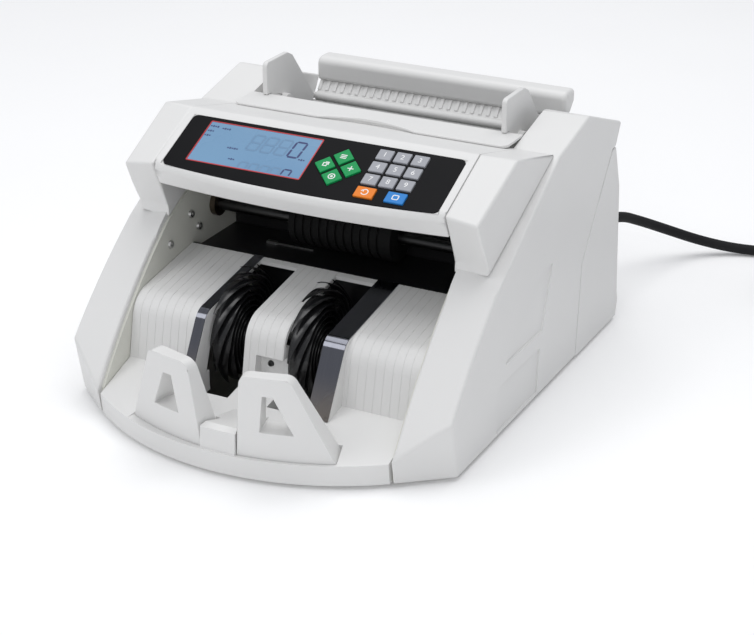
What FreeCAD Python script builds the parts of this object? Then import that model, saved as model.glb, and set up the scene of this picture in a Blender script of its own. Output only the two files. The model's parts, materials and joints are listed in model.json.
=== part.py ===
import FreeCAD, Part
import math
import os

import Sketcher

# Driving dimensions in millimetres: X to the right, Y to the rear, Z up from the table.
SIZES = {
    # Overall body
    "body_half": 123.2,
    "side_draft": 2.7,
    "draft_height": 150.0,
    "bay_half": 93.5,
    "frame_gauge": 1.5,
    "shoulder_reach": 2.0,
    "cover_wall": 2.5,
    "seam_gap": 0.3,
    "foot_height": 2.5,
    "foot_radius": 8.0,
    "foot_inset": 20.0,
    "foot_front_y": -70.0,
    "foot_rear_y": 120.0,
    "base_gauge": 1.5,
    "base_front_y": -112.0,
    # Side cover outline, seen from the side
    "toe_y": -116.0,
    "ankle_y": -118.9,
    "ankle_z": 17.0,
    "heel_y": 77.0,
    "waist_y": 84.5,
    "waist_z": 61.9,
    "hip_y": 106.5,
    "hip_z": 90.0,
    "nape_y": 131.3,
    "nape_z": 119.5,
    "tail_y": 137.0,
    "tail_z": 120.0,
    "lip_y": 145.5,
    "lip_z": 133.9,
    "ridge_y": 90.0,
    "ridge_z": 153.7,
    "valley_y": 44.5,
    "valley_z": 143.1,
    "elbow_y": -39.5,
    "elbow_outer_z": 92.9,
    "elbow_inner_z": 99.0,
    "pillar_radius": 380.0,
    "bevel_outer_y": -93.2,
    "bevel_lean": 0.21,
    "belt_line_z": 117.0,
    "chin_drop": 6.0,
    "bevel_step": 3.3,
    "bevel_past": 0.5,
    "pillar_room_z": 14.0,
    "shoulder_step": 4.0,
    "frame_inset": 4.5,
    "frame_run": 1.9,
    "cut_past": 1.0,
    "cut_through": 320.0,
    # Recessed panels on the outer walls
    "mark_depth": 1.2,
    "mark_top_y": 37.0,
    "mark_top_z": 79.8,
    "mark_right_y": 23.1,
    "mark_right_z": 42.5,
    "mark_left_y": -30.4,
    "mark_left_z": 43.1,
    "mark_bow": 9.8,
    "mark_low_right_y": 19.0,
    "mark_low_right_z": 32.3,
    "mark_low_foot_y": 15.6,
    "mark_low_left_y": -40.1,
    "mark_low_left_z": 32.6,
    "mark_low_toe_y": -43.0,
    "mark_low_toe_z": 25.3,
    "mark_floor_gap": 2.5,
    # Head
    "brow_y": -53.5,
    "brow_z": 135.0,
    "panel_rise": 0.468,
    "crest_y": -8.0,
    "lip_bottom_z": 120.5,
    "lip_run": 0.45,
    "brow_bow": 6.5,
    "brow_round": 5.0,
    "brow_wall": 4.25,
    "chin_y": -38.7,
    "chin_z": 103.5,
    "temple_inset": 7.7,
    "temple_flare": 4.1,
    "temple_brow_z": 132.2,
    "temple_crest_y": -4.7,
    "temple_crest_z": 155.2,
    # Keypad and display
    "panel_gauge": 0.8,
    "panel_margin": 4.7,
    "panel_bottom": 1.8,
    "panel_top": 44.1,
    "panel_bow": 4.0,
    "window_left": -74.5,
    "window_right": -0.7,
    "window_bottom": 8.2,
    "window_top": 40.6,
    "key_gap": 0.3,
    "key_proud": 1.0,
    "key_float": 0.6,
    "digit_wide": 9.2,
    "digit_tall": 8.0,
    "digit_pitch_x": 10.95,
    "digit_pitch_y": 10.0,
    "digit_left": 40.9,
    "digit_top": 36.9,
    "bottom_key_wide": 11.8,
    "bottom_key_y": 6.6,
    "clear_key_x": 42.2,
    "zero_key_x": 61.2,
    "diamond_side": 9.5,
    "diamond_x": 18.0,
    "diamond_y": 21.9,
    "diamond_step": 8.15,
    "board_gauge": 1.6,
    "board_rim": 3.0,
    # Stacker tray
    "tray_apex_y": -150.0,
    "tray_corner_y": -118.9,
    "tray_lean": 0.11,
    "rim_z": 15.2,
    "deck_rear_y": -15.7,
    "deck_rear_z": 71.8,
    "deck_front_y": -79.8,
    "deck_front_z": 61.6,
    "deck_foot_y": -87.3,
    "deck_foot_z": 25.4,
    "deck_gauge": 2.2,
    "deck_bend": 17.0,
    "ramp_rear": 6.0,
    "ramp_bow": 0.5,
    "carrier_start_y": -70.0,
    "carrier_top_y": -80.8,
    "carrier_round": 10.0,
    "carrier_foot_y": -103.1,
    "carrier_foot_z": 22.8,
    "left_strip_wide": 6.7,
    "right_strip_wide": 13.8,
    "strip_gauge": 0.6,
    "strip_side_gap": 0.2,
    "groove_pitch": 5.3,
    "groove_wide": 0.5,
    "groove_deep": 0.2,
    "sill_height": 14.0,
    "sill_rear": 8.0,
    "sill_rear_height": 6.5,
    "sill_front": 1.3,
    "sill_crown": 5.7,
    "sensor_half": 8.9,
    "sensor_top_z": 43.2,
    "sensor_deep": 5.0,
    "sensor_wall": 2.0,
    # Note stoppers
    "stopper_mid_x": 3.7,
    "stopper_inner": 11.3,
    "stopper_setback": 2.5,
    "stopper_long": 55.5,
    "stopper_turn": 15.5,
    "stopper_tall": 50.8,
    "stopper_top_inner": 3.8,
    "stopper_top_outer": 32.5,
    "stopper_foot": 15.0,
    "stopper_head": 6.0,
    "stopper_lean": 4.0,
    "stopper_bulge": 2.5,
    "stopper_hole_low": 16.8,
    "stopper_hole_high": 39.3,
    "stopper_hole_start": 14.0,
    "stopper_hole_end": 33.0,
    "stopper_hole_top_start": 16.5,
    "stopper_hole_top_end": 22.5,
    "stopper_plinth": 3.0,
    "stopper_fit": 0.2,
    "stopper_corner": 6.0,
    # Drive train
    "shaft_radius": 4.0,
    "running_gap": 0.05,
    "bearing_radius": 8.0,
    "bearing_wide": 5.0,
    "screw_radius": 2.6,
    "screw_head": 1.5,
    "screw_low_y": -39.0,
    "screw_low_z": 79.0,
    "screw_high_y": -15.4,
    "screw_high_z": 90.3,
    "screw_rear_y": -7.0,
    "screw_rear_z": 79.7,
    "stacker_y": -46.5,
    "feed_y": 14.0,
    "feed_z": 88.0,
    "pickup_y": 92.0,
    "pickup_z": 107.0,
    "motor_y": 62.0,
    "motor_z": 40.0,
    "motor_radius": 21.0,
    "motor_long": 58.0,
    "motor_shaft": 3.0,
    "motor_grip": 8.0,
    "motor_end_gap": 0.5,
    "wheel_radius": 36.5,
    "wheel_hub": 10.0,
    "wheel_wide": 10.0,
    "wheel_left_x": -35.6,
    "wheel_right_x": 15.4,
    "wheel_gap": 1.75,
    "wheel_clear": 13.75,
    "slot_bridge": 4.3,
    "wheel_floor_gap": 1.0,
    "blade_gauge": 1.4,
    "blade_sweep": 210.0,
    "blade_bend": 0.94,
    "blade_steps": 8,
    "blade_count": 12,
    "feed_radius": 15.0,
    "feed_half": 34.0,
    "rib_pitch": 5.5,
    "rib_gap": 1.6,
    "rib_deep": 1.2,
    "pickup_radius": 13.0,
    "pickup_half": 36.0,
    "pulley_radius": 8.0,
    "pulley_wide": 5.0,
    "pulley_step": 6.0,
    "pulley_start": 2.5,
    "pulley_clear": 8.7,
    "belt_gap": 0.3,
    "belt_gauge": 1.4,
    # Hopper
    "hopper_z": 147.2,
    "hopper_gauge": 1.4,
    "hopper_front_y": 34.3,
    "hopper_rear_y": 58.0,
    "hopper_drop_y": 76.0,
    "hopper_drop_z": 122.0,
    "hopper_bend_wall": 0.7,
    "hopper_drop_wall": 1.8,
    "hopper_corner": 4.5,
    "finger_half": 32.0,
    "finger_deep": 7.0,
    "guide_inset": 11.0,
    "guide_gauge": 3.2,
    "guide_front_y": 54.5,
    "guide_top_z": 168.0,
    "guide_top_y": 84.0,
    "guide_tail_y": 115.0,
    "guide_tail_z": 131.0,
    "guide_low_z": 128.0,
    "rail_y": 75.0,
    "rail_z": 137.0,
    "rail_radius": 3.0,
    "guide_hub_radius": 6.0,
    "guide_hub_long": 10.0,
    "guide_skim": 1.2,
    "guide_nip": 3.0,
    "guide_round": 3.2,
    "flap_gap": 5.5,
    "flap_pivot_y": 130.5,
    "flap_pivot_z": 124.6,
    "flap_pin_radius": 2.0,
    "flap_pin_long": 1.5,
    "flap_barrel_radius": 3.2,
    "flap_gauge": 3.0,
    "flap_angle": 47.0,
    "flap_rib_start": 3.5,
    "flap_rib_sink": 0.5,
    "flap_rib_pitch": 5.5,
    "flap_rib_wide": 2.4,
    "flap_rib_tall": 1.0,
    "bar_gap": 4.0,
    "bar_front_y": 134.0,
    "bar_rear_y": 150.0,
    "bar_low_z": 134.2,
    "bar_top_z": 149.7,
    "bar_round": 5.0,
    "bar_rear_round": 3.5,
    "bar_cut": 7.0,
    # Rear cover
    "rear_shoulder_y": 145.4,
    "rear_shoulder_z": 92.0,
    "rear_waist_y": 147.7,
    "rear_waist_z": 20.0,
    "rear_skirt_y": 149.5,
    "rear_skirt_z": 13.3,
    "rear_toe_y": 146.5,
    "rear_slant_wall": 3.2,
    "vent_wide": 3.0,
    "vent_tall": 34.0,
    "vent_pitch": 8.0,
    "vent_count": 9,
    "vent_left_x": -64.0,
    "vent_z": 40.0,
    # Throat
    "throat_floor_z": 67.5,
    "throat_back_y": 36.0,
    "throat_gauge": 1.5,
    "throat_lip": 4.0,
    # Electrics and cord
    "board_half": 55.0,
    "board_front_y": 62.0,
    "board_deep": 68.0,
    "board_post": 5.0,
    "post_inset": 4.0,
    "post_radius": 3.0,
    "core_tall": 32.0,
    "inlet_inset": 27.2,
    "inlet_z": 48.0,
    "inlet_wide": 30.0,
    "inlet_low": 12.0,
    "inlet_high": 42.0,
    "inlet_rim": 1.5,
    "inlet_face_y": 149.0,
    "inlet_flange": 1.5,
    "inlet_deep": 17.0,
    "socket_deep": 12.0,
    "socket_wide": 24.0,
    "socket_tall": 16.5,
    "switch_rise": 27.0,
    "switch_wide": 20.0,
    "switch_radius": 7.5,
    "switch_proud": 1.6,
    "switch_pin": 1.5,
    "switch_pin_long": 1.2,
    "switch_gap": 0.4,
    "switch_face": 6.4,
    "switch_edge": 4.65,
    "connector_long": 18.0,
    "connector_wide": 27.0,
    "connector_tall": 19.0,
    "relief_long": 22.0,
    "relief_radius": 6.5,
    "relief_wall": 0.5,
    "cord_radius": 3.5,
    "coil_radius": 38.5,
    "coil_wide": 24.0,
    "coil_tall": 14.0,
    "coil_x": 245.0,
    "coil_y": 248.5,
    "tail_reach": 47.8,
    "tail_long": 37.5,
    "plug_long": 46.0,
    "plug_wide": 26.0,
    "plug_tall": 18.0,
    "pin_long": 18.0,
    "pin_radius": 2.4,
    "pin_spread": 9.5,
}

doc = FreeCAD.newDocument("BanknoteCounter")
sheet = doc.addObject("Spreadsheet::Sheet", "Sizes")


class Size:
    def __init__(self, value, formula):
        self.value = value
        self.formula = formula

    def __add__(self, other):
        return Size(self.value + number(other), f"({self.formula} + {text(other)})")

    def __radd__(self, other):
        return Size(number(other) + self.value, f"({text(other)} + {self.formula})")

    def __sub__(self, other):
        return Size(self.value - number(other), f"({self.formula} - {text(other)})")

    def __rsub__(self, other):
        return Size(number(other) - self.value, f"({text(other)} - {self.formula})")

    def __mul__(self, other):
        return Size(self.value * number(other), f"({self.formula} * {text(other)})")

    def __rmul__(self, other):
        return Size(number(other) * self.value, f"({text(other)} * {self.formula})")

    def __truediv__(self, other):
        return Size(self.value / number(other), f"({self.formula} / {text(other)})")

    def __rtruediv__(self, other):
        return Size(number(other) / self.value, f"({text(other)} / {self.formula})")

    def __neg__(self):
        return Size(-self.value, f"(-1 * {self.formula})")


def number(size):
    return size.value if isinstance(size, Size) else float(size)


def text(size):
    return size.formula if isinstance(size, Size) else f"{float(size):.9f}"


def root(size):
    return Size(math.sqrt(number(size)), f"sqrt({text(size)})")


class Sizes:
    pass


s = Sizes()
for row, (alias, value) in enumerate(SIZES.items(), start=1):
    sheet.set(f"A{row}", alias)
    sheet.set(f"B{row}", str(value))
    sheet.setAlias(f"B{row}", alias)
    setattr(s, alias, Size(float(value), f"Sizes.{alias}"))
doc.recompute()

pieces = []


def keep(piece, label):
    piece.Label = label
    pieces.append(piece)
    return piece


def bind(thing, path, size):
    thing.setExpression(path, text(size))


# Sketches, pads and pockets
def new_body(label):
    return keep(doc.addObject("PartDesign::Body", label), label)


def plane_of(body, role):
    return [item for item in body.Origin.OriginFeatures if item.Role == role][0]


def fix_corner(sketch, segment, end, corner):
    for axis, size in (("DistanceX", corner[0]), ("DistanceY", corner[1])):
        index = sketch.addConstraint(Sketcher.Constraint(axis, segment, end, number(size)))
        bind(sketch, f"Constraints[{index}]", size)


def draw_circle(sketch, mid_u, mid_v, radius):
    middle = FreeCAD.Vector(number(mid_u), number(mid_v), 0)
    index = sketch.addGeometry(Part.Circle(middle, FreeCAD.Vector(0, 0, 1), number(radius)), False)
    fix_corner(sketch, index, 3, (mid_u, mid_v))
    constraint = sketch.addConstraint(Sketcher.Constraint("Radius", index, number(radius)))
    bind(sketch, f"Constraints[{constraint}]", radius)


def arc_between(first, second, radius):
    chord = second - first
    right = FreeCAD.Vector(chord.y, -chord.x, 0).normalize()
    reach = math.sqrt(max(radius * radius - chord.Length * chord.Length / 4, 0.0))
    middle = (first + second) * 0.5 - right * math.copysign(reach, radius)
    start, end = (first, second) if radius > 0 else (second, first)
    begin = math.atan2(start.y - middle.y, start.x - middle.x)
    finish = math.atan2(end.y - middle.y, end.x - middle.x)
    if finish < begin:
        finish += 2 * math.pi
    circle = Part.Circle(middle, FreeCAD.Vector(0, 0, 1), abs(radius))
    return Part.ArcOfCircle(circle, begin, finish)


# A corner is (u, v), or (u, v, radius) where an arc runs on to the next corner:
# a positive radius bulges to the right of the way the outline goes.
def draw_outline(sketch, corners):
    ends = []
    for place, corner in enumerate(corners):
        after = corners[(place + 1) % len(corners)]
        here = FreeCAD.Vector(number(corner[0]), number(corner[1]), 0)
        there = FreeCAD.Vector(number(after[0]), number(after[1]), 0)
        if len(corner) == 3:
            radius = corner[2]
            index = sketch.addGeometry(arc_between(here, there, number(radius)), False)
            bend = radius if number(radius) > 0 else -radius
            constraint = sketch.addConstraint(Sketcher.Constraint("Radius", index, number(bend)))
            bind(sketch, f"Constraints[{constraint}]", bend)
            ends.append((index, 1, 2) if number(radius) > 0 else (index, 2, 1))
        else:
            index = sketch.addGeometry(Part.LineSegment(here, there), False)
            ends.append((index, 1, 2))
    for place, corner in enumerate(corners):
        segment, begin, _ = ends[place]
        before, _, finish = ends[place - 1]
        sketch.addConstraint(Sketcher.Constraint("Coincident", before, finish, segment, begin))
        fix_corner(sketch, segment, begin, corner)


def new_sketch(body, plane, outlines, start=0.0):
    sketch = body.newObject("Sketcher::SketchObject", f"{body.Label}_sketch")
    sketch.AttachmentSupport = [(plane_of(body, plane), "")]
    sketch.MapMode = "FlatFace"
    bind(sketch, "AttachmentOffset.Base.z", -start if plane == "XZ_Plane" else start)
    for outline in outlines:
        if outline[0] == "circle":
            draw_circle(sketch, *outline[1:])
        else:
            draw_outline(sketch, outline)
    return sketch


# A pad or a pocket runs from the plane at start, towards growing X, Y or Z.
def pad(body, plane, outlines, start, depth):
    sketch = new_sketch(body, plane, outlines, start)
    feature = body.newObject("PartDesign::Pad", f"{body.Label}_pad")
    feature.Profile = sketch
    feature.Reversed = plane == "XZ_Plane"
    bind(feature, "Length", depth)
    return feature


def pocket(body, plane, outlines, start, depth):
    sketch = new_sketch(body, plane, outlines, start)
    feature = body.newObject("PartDesign::Pocket", f"{body.Label}_pocket")
    feature.Profile = sketch
    feature.Reversed = plane != "XZ_Plane"
    bind(feature, "Length", depth)
    return feature


def tilt(feature, direction):
    feature.UseCustomVector = True
    feature.Direction = FreeCAD.Vector(*[number(part) for part in direction])
    feature.Reversed = False


def row_of(body, feature, plane, span, count):
    pattern = body.newObject("PartDesign::LinearPattern", f"{body.Label}_row")
    pattern.Originals = [feature]
    pattern.Direction = (plane, ["N_Axis"])
    bind(pattern, "Length", span)
    pattern.Occurrences = int(round(count))
    body.Tip = pattern
    return pattern


def round_edges(body, radius, spots):
    doc.recompute()
    base = body.Tip
    names = []
    for spot in spots:
        point = Part.Vertex(*[number(part) for part in spot])
        far = [edge.distToShape(point)[0] for edge in base.Shape.Edges]
        names.append(f"Edge{far.index(min(far)) + 1}")
    fillet = body.newObject("PartDesign::Fillet", f"{body.Label}_round")
    fillet.Base = (base, sorted(set(names)))
    bind(fillet, "Radius", radius)
    return fillet


def box_loop(left, right, low, high):
    return [(left, low), (right, low), (right, high), (left, high)]


def mirrored(source, label, plane_x=0.0):
    copy = keep(doc.addObject("Part::Mirroring", label), label)
    copy.Source = source
    copy.Normal = FreeCAD.Vector(1, 0, 0)
    copy.Base = FreeCAD.Vector(number(plane_x), 0, 0)
    bind(copy, "Base.x", plane_x)
    return copy


# Primitive solids
def block(name, corner, lengths):
    solid = doc.addObject("Part::Box", name)
    for prop, size in zip(("Length", "Width", "Height"), lengths):
        bind(solid, prop, size)
    for axis, size in zip("xyz", corner):
        bind(solid, f"Placement.Base.{axis}", size)
    return solid


TURN_TO = {
    "x": (FreeCAD.Vector(0, 1, 0), 90),
    "y": (FreeCAD.Vector(1, 0, 0), -90),
    "z": (FreeCAD.Vector(0, 0, 1), 0),
}


def round_bar(name, axis, start, radius, long):
    solid = doc.addObject("Part::Cylinder", name)
    turn = FreeCAD.Rotation(*TURN_TO[axis])
    solid.Placement = FreeCAD.Placement(FreeCAD.Vector(), turn)
    bind(solid, "Radius", radius)
    bind(solid, "Height", long)
    for name_of, size in zip("xyz", start):
        bind(solid, f"Placement.Base.{name_of}", size)
    return solid


def cut(name, base, tool):
    result = doc.addObject("Part::Cut", name)
    result.Base = base
    result.Tool = tool
    return result


def fuse(name, shapes):
    result = doc.addObject("Part::MultiFuse", name)
    result.Shapes = shapes
    return result


def group(label, solids):
    result = keep(doc.addObject("Part::Compound", label), label)
    result.Links = solids
    return result


# Working lines shared by several pieces
cover_inner = s.bay_half + s.frame_gauge
cover_wide = s.body_half - cover_inner
shoulder_half = s.bay_half - s.shoulder_reach
temple_x = s.body_half - s.temple_inset
inlet_x = s.body_half - s.inlet_inset
floor_z = s.foot_height
base_top = floor_z + s.base_gauge
stacker_z = base_top + s.wheel_floor_gap + s.wheel_radius
slot_near = s.wheel_wide / 2 + s.wheel_gap
slot_far = s.wheel_wide / 2 + s.wheel_clear
left_slot = (s.wheel_left_x - slot_near, s.wheel_left_x + slot_far)
right_slot = (s.wheel_right_x - slot_near, s.wheel_right_x + slot_far)
draft_rate = s.side_draft / s.draft_height
DRAFT_ANGLE = -math.degrees(math.atan(number(draft_rate)))
rise_root = root(1 + s.panel_rise * s.panel_rise)
panel_cos = 1 / rise_root
panel_sin = s.panel_rise / rise_root


def panel_z(along_y):
    return s.brow_z + (along_y - s.brow_y) * s.panel_rise


def arc_radius(half, rise):
    return (half * half + rise * rise) / (2 * rise)


crest_z = panel_z(s.crest_y)
head_half = s.bay_half - s.seam_gap
panel_half = head_half - s.panel_margin
PANEL_ANGLE = math.degrees(math.atan(number(s.panel_rise)))


# A place on the keypad: to the right, up the slope from the brow, and out of the face.
def on_panel(right, up, out=0.0):
    along = s.brow_y + up * panel_cos - out * panel_sin
    high = s.brow_z + up * panel_sin + out * panel_cos
    return (right, along, high)


# Wedge that gives an outer wall its draft, right or left
def draft_wedge(side):
    edge = s.body_half * side
    top_z = floor_z + s.cut_through
    return [
        (edge, floor_z), (edge + s.cut_past * side, floor_z), (edge + s.cut_past * side, top_z),
        (edge - draft_rate * s.cut_through * side, top_z),
    ]


# Recessed panels of the outer wall: a curved sail above and a foot panel below
def mark_outlines():
    run_y = s.mark_top_y - s.mark_left_y
    run_z = s.mark_top_z - s.mark_left_z
    sail_radius = arc_radius(root(run_y * run_y + run_z * run_z) / 2, s.mark_bow)
    low_z = floor_z + s.mark_floor_gap
    sail = [
        (s.mark_top_y, s.mark_top_z), (s.mark_right_y, s.mark_right_z),
        (s.mark_left_y, s.mark_left_z, -sail_radius),
    ]
    foot = [
        (s.mark_low_right_y, s.mark_low_right_z), (s.mark_low_foot_y, low_z), (s.mark_low_toe_y, low_z),
        (s.mark_low_toe_y, s.mark_low_toe_z), (s.mark_low_left_y, s.mark_low_left_z),
    ]
    return [sail, foot]


# Side covers: lofted pillar and shoulder, hollow towards the frame
def side_outline(elbow_z):
    return [
        (s.toe_y, floor_z), (s.heel_y, floor_z), (s.waist_y, s.waist_z), (s.hip_y, s.hip_z),
        (s.nape_y, s.nape_z), (s.tail_y, s.tail_z), (s.lip_y, s.lip_z), (s.ridge_y, s.ridge_z),
        (s.valley_y, s.valley_z), (s.elbow_y, elbow_z, s.pillar_radius), (s.ankle_y, s.ankle_z),
    ]


def loft(body, sections):
    feature = body.newObject("PartDesign::AdditiveLoft", f"{body.Label}_loft")
    feature.Profile = sections[0]
    feature.Sections = sections[1:]
    feature.Ruled = True
    return feature


def make_side_cover():
    body = new_body("side_cover_right")
    wall = s.cover_wall
    inner = new_sketch(body, "YZ_Plane", [side_outline(s.elbow_inner_z)], cover_inner)
    outer = new_sketch(body, "YZ_Plane", [side_outline(s.elbow_outer_z)], s.body_half)
    loft(body, [inner, outer])
    shoulder = [
        (s.valley_y, s.valley_z), (s.valley_y, s.belt_line_z), (s.nape_y - s.shoulder_step, s.belt_line_z),
        (s.nape_y, s.nape_z), (s.tail_y, s.tail_z), (s.lip_y, s.lip_z), (s.ridge_y, s.ridge_z),
    ]
    pad(body, "YZ_Plane", [shoulder], shoulder_half, cover_inner - shoulder_half + wall)
    # Head end: from the seam out to the tilted temple face
    near = new_sketch(body, "YZ_Plane", [[
        (s.chin_y, s.chin_z - s.chin_drop), (s.valley_y, s.valley_z), (s.crest_y, crest_z),
        (s.brow_y, s.brow_z),
        (s.brow_y + (s.brow_z - s.lip_bottom_z) * s.lip_run, s.lip_bottom_z), (s.chin_y, s.chin_z),
    ]], s.bay_half)
    far = new_sketch(body, "YZ_Plane", [[
        (s.chin_y, s.chin_z - s.chin_drop), (s.valley_y, s.valley_z), (s.temple_crest_y, s.temple_crest_z),
        (s.brow_y, s.temple_brow_z),
        (s.brow_y + (s.temple_brow_z - s.lip_bottom_z) * s.lip_run, s.lip_bottom_z), (s.chin_y, s.chin_z),
    ]], temple_x)
    swing = math.degrees(math.atan2(number(s.temple_flare), number(s.valley_y - s.brow_y)))
    pivot = FreeCAD.Vector(number(s.brow_y), 0, 0)
    turn = FreeCAD.Rotation(FreeCAD.Vector(0, 1, 0), -swing)
    shift = pivot - turn.multVec(pivot)
    far.AttachmentOffset = FreeCAD.Placement(shift + FreeCAD.Vector(0, 0, number(temple_x)), turn)
    loft(body, [near, far])
    # Draft of the outer wall and the bevel at the front foot
    pocket(body, "XZ_Plane", [draft_wedge(1)], s.tray_apex_y, s.cut_through)
    front_room_y = s.ankle_y - cover_wide
    bevel_far = s.body_half + s.bevel_step
    bevel_y = s.bevel_outer_y - s.bevel_past
    bevel = pocket(body, "XY_Plane", [[
        (cover_inner - s.bevel_step, front_room_y), (bevel_far, front_room_y),
        (bevel_far, bevel_y + s.bevel_step), (s.body_half, bevel_y),
        (cover_inner, s.toe_y - s.bevel_past),
    ]], floor_z, s.waist_z)
    tilt(bevel, (0, -s.bevel_lean, 1))
    # Hollow of the pillar and shoulder, open towards the frame below the belt line
    front_y = s.bevel_outer_y + wall * 2
    low_z = floor_z - s.cut_past
    step = s.shoulder_step
    hollow = [
        (front_y, low_z), (s.tail_y, low_z), (s.tail_y, s.nape_z - step * 3),
        (s.nape_y - step * 1.5, s.nape_z + step / 2), (s.ridge_y, s.ridge_z - 2 * wall),
        (s.valley_y, s.valley_z - 2 * wall), (s.elbow_y + step, s.elbow_outer_z - wall),
        (front_y, s.ankle_z + s.pillar_room_z),
    ]
    pocket(body, "YZ_Plane", [hollow], cover_inner + wall, cover_wide - 2 * wall - s.side_draft)
    open_top_y = s.elbow_y + (s.belt_line_z - s.elbow_outer_z) * s.frame_run
    open_side = [
        (front_y, low_z), (s.tail_y, low_z), (s.tail_y, s.belt_line_z), (open_top_y, s.belt_line_z),
        (s.elbow_y + step, s.elbow_outer_z - wall), (front_y, s.ankle_z + s.pillar_room_z),
    ]
    pocket(body, "YZ_Plane", [open_side], cover_inner - s.cut_past, wall + s.cut_past * 2)
    pin_bore = ("circle", s.flap_pivot_y, s.flap_pivot_z, s.flap_pin_radius + s.running_gap)
    pin_deep = s.flap_pin_long + s.cut_past + s.seam_gap
    pocket(body, "YZ_Plane", [pin_bore], shoulder_half - s.cut_past, pin_deep)
    panels = pocket(body, "YZ_Plane", mark_outlines(), 0, s.mark_depth + s.cut_past)
    sketch = panels.Profile[0]
    sketch.setExpression("AttachmentOffset.Base.z", None)
    lean = FreeCAD.Rotation(FreeCAD.Vector(1, 0, 0), DRAFT_ANGLE)
    base_x = s.body_half - s.mark_depth + draft_rate * floor_z
    sketch.AttachmentOffset = FreeCAD.Placement(FreeCAD.Vector(0, 0, number(base_x)), lean)
    return body


side_cover = make_side_cover()
mirrored(side_cover, "side_cover_left")


# Stacker tray: apron, ramp floor, grooved deck and the two strip carriers
deck_slope = (s.deck_rear_z - s.deck_front_z) / (s.deck_rear_y - s.deck_front_y)
wall_run = (s.deck_front_y - s.deck_foot_y) / (s.deck_front_z - s.deck_foot_z)
tray_half = s.bay_half - s.seam_gap


def deck_z(along_y):
    return s.deck_rear_z + (along_y - s.deck_rear_y) * deck_slope


tray_radius = arc_radius(tray_half, s.tray_corner_y - s.tray_apex_y)
left_strip_start = left_slot[0] - s.left_strip_wide
right_strip_end = right_slot[1] + s.right_strip_wide


def tray_plan(corner_y, radius, rear_y, half=tray_half):
    return [(-half, corner_y, radius), (half, corner_y), (half, rear_y), (-half, rear_y)]


wall_long = root(1 + wall_run * wall_run)
deck_long = root(1 + deck_slope * deck_slope)
bend_tangent = (wall_long * deck_long - wall_run - deck_slope) / (1 - wall_run * deck_slope)
bend_reach = s.deck_bend * bend_tangent


# The deck runs forward, turns down round its bend and goes on as the front wall
def deck_band(deep):
    wall_foot_y = s.deck_foot_y - (s.deck_foot_z - s.rim_z) * wall_run
    bend_low_y = s.deck_front_y - bend_reach * wall_run / wall_long
    bend_low_z = s.deck_front_z - bend_reach / wall_long
    bend_high_y = s.deck_front_y + bend_reach / deck_long
    bend_high_z = s.deck_front_z + bend_reach * deck_slope / deck_long
    return [
        (wall_foot_y, s.rim_z),
        (wall_foot_y + deep * wall_long, s.rim_z),
        (bend_low_y + deep / wall_long, bend_low_z - deep * wall_run / wall_long, deep - s.deck_bend),
        (bend_high_y + deep * deck_slope / deck_long, bend_high_z - deep / deck_long),
        (s.deck_rear_y, s.deck_rear_z - deep * deck_long),
        (s.deck_rear_y, s.deck_rear_z),
        (bend_high_y, bend_high_z, s.deck_bend),
        (bend_low_y, bend_low_z),
    ]


def carrier_outline():
    return [
        (s.carrier_foot_y, s.carrier_foot_z),
        (s.deck_foot_y + s.deck_gauge / 2, s.carrier_foot_z - s.deck_gauge),
        (s.deck_front_y + s.deck_gauge, s.deck_front_z - s.deck_bend),
        (s.carrier_start_y, deck_z(s.carrier_start_y) - s.deck_bend / 3),
        (s.carrier_start_y, deck_z(s.carrier_start_y)), (s.carrier_top_y, deck_z(s.carrier_top_y)),
    ]


def stopper_seat(mirror):
    turn = math.radians(number(s.stopper_turn))
    fit = s.stopper_fit
    front = -s.stopper_bulge * 3
    rear = s.stopper_foot + fit
    end = s.stopper_long + fit
    corners = []
    for along, back in ((-fit, front), (end, front), (end, rear), (-fit, rear)):
        across = s.stopper_inner + along * math.cos(turn) - back * math.sin(turn)
        deep = stopper_front_y + along * math.sin(turn) + back * math.cos(turn)
        corners.append((s.stopper_mid_x + across * mirror, deep))
    return corners if mirror > 0 else corners[::-1]


stopper_reach = s.stopper_mid_x + s.stopper_inner
stopper_sagitta = tray_radius - root(tray_radius * tray_radius - stopper_reach * stopper_reach)
stopper_front_y = s.tray_apex_y + stopper_sagitta + s.stopper_setback


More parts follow.
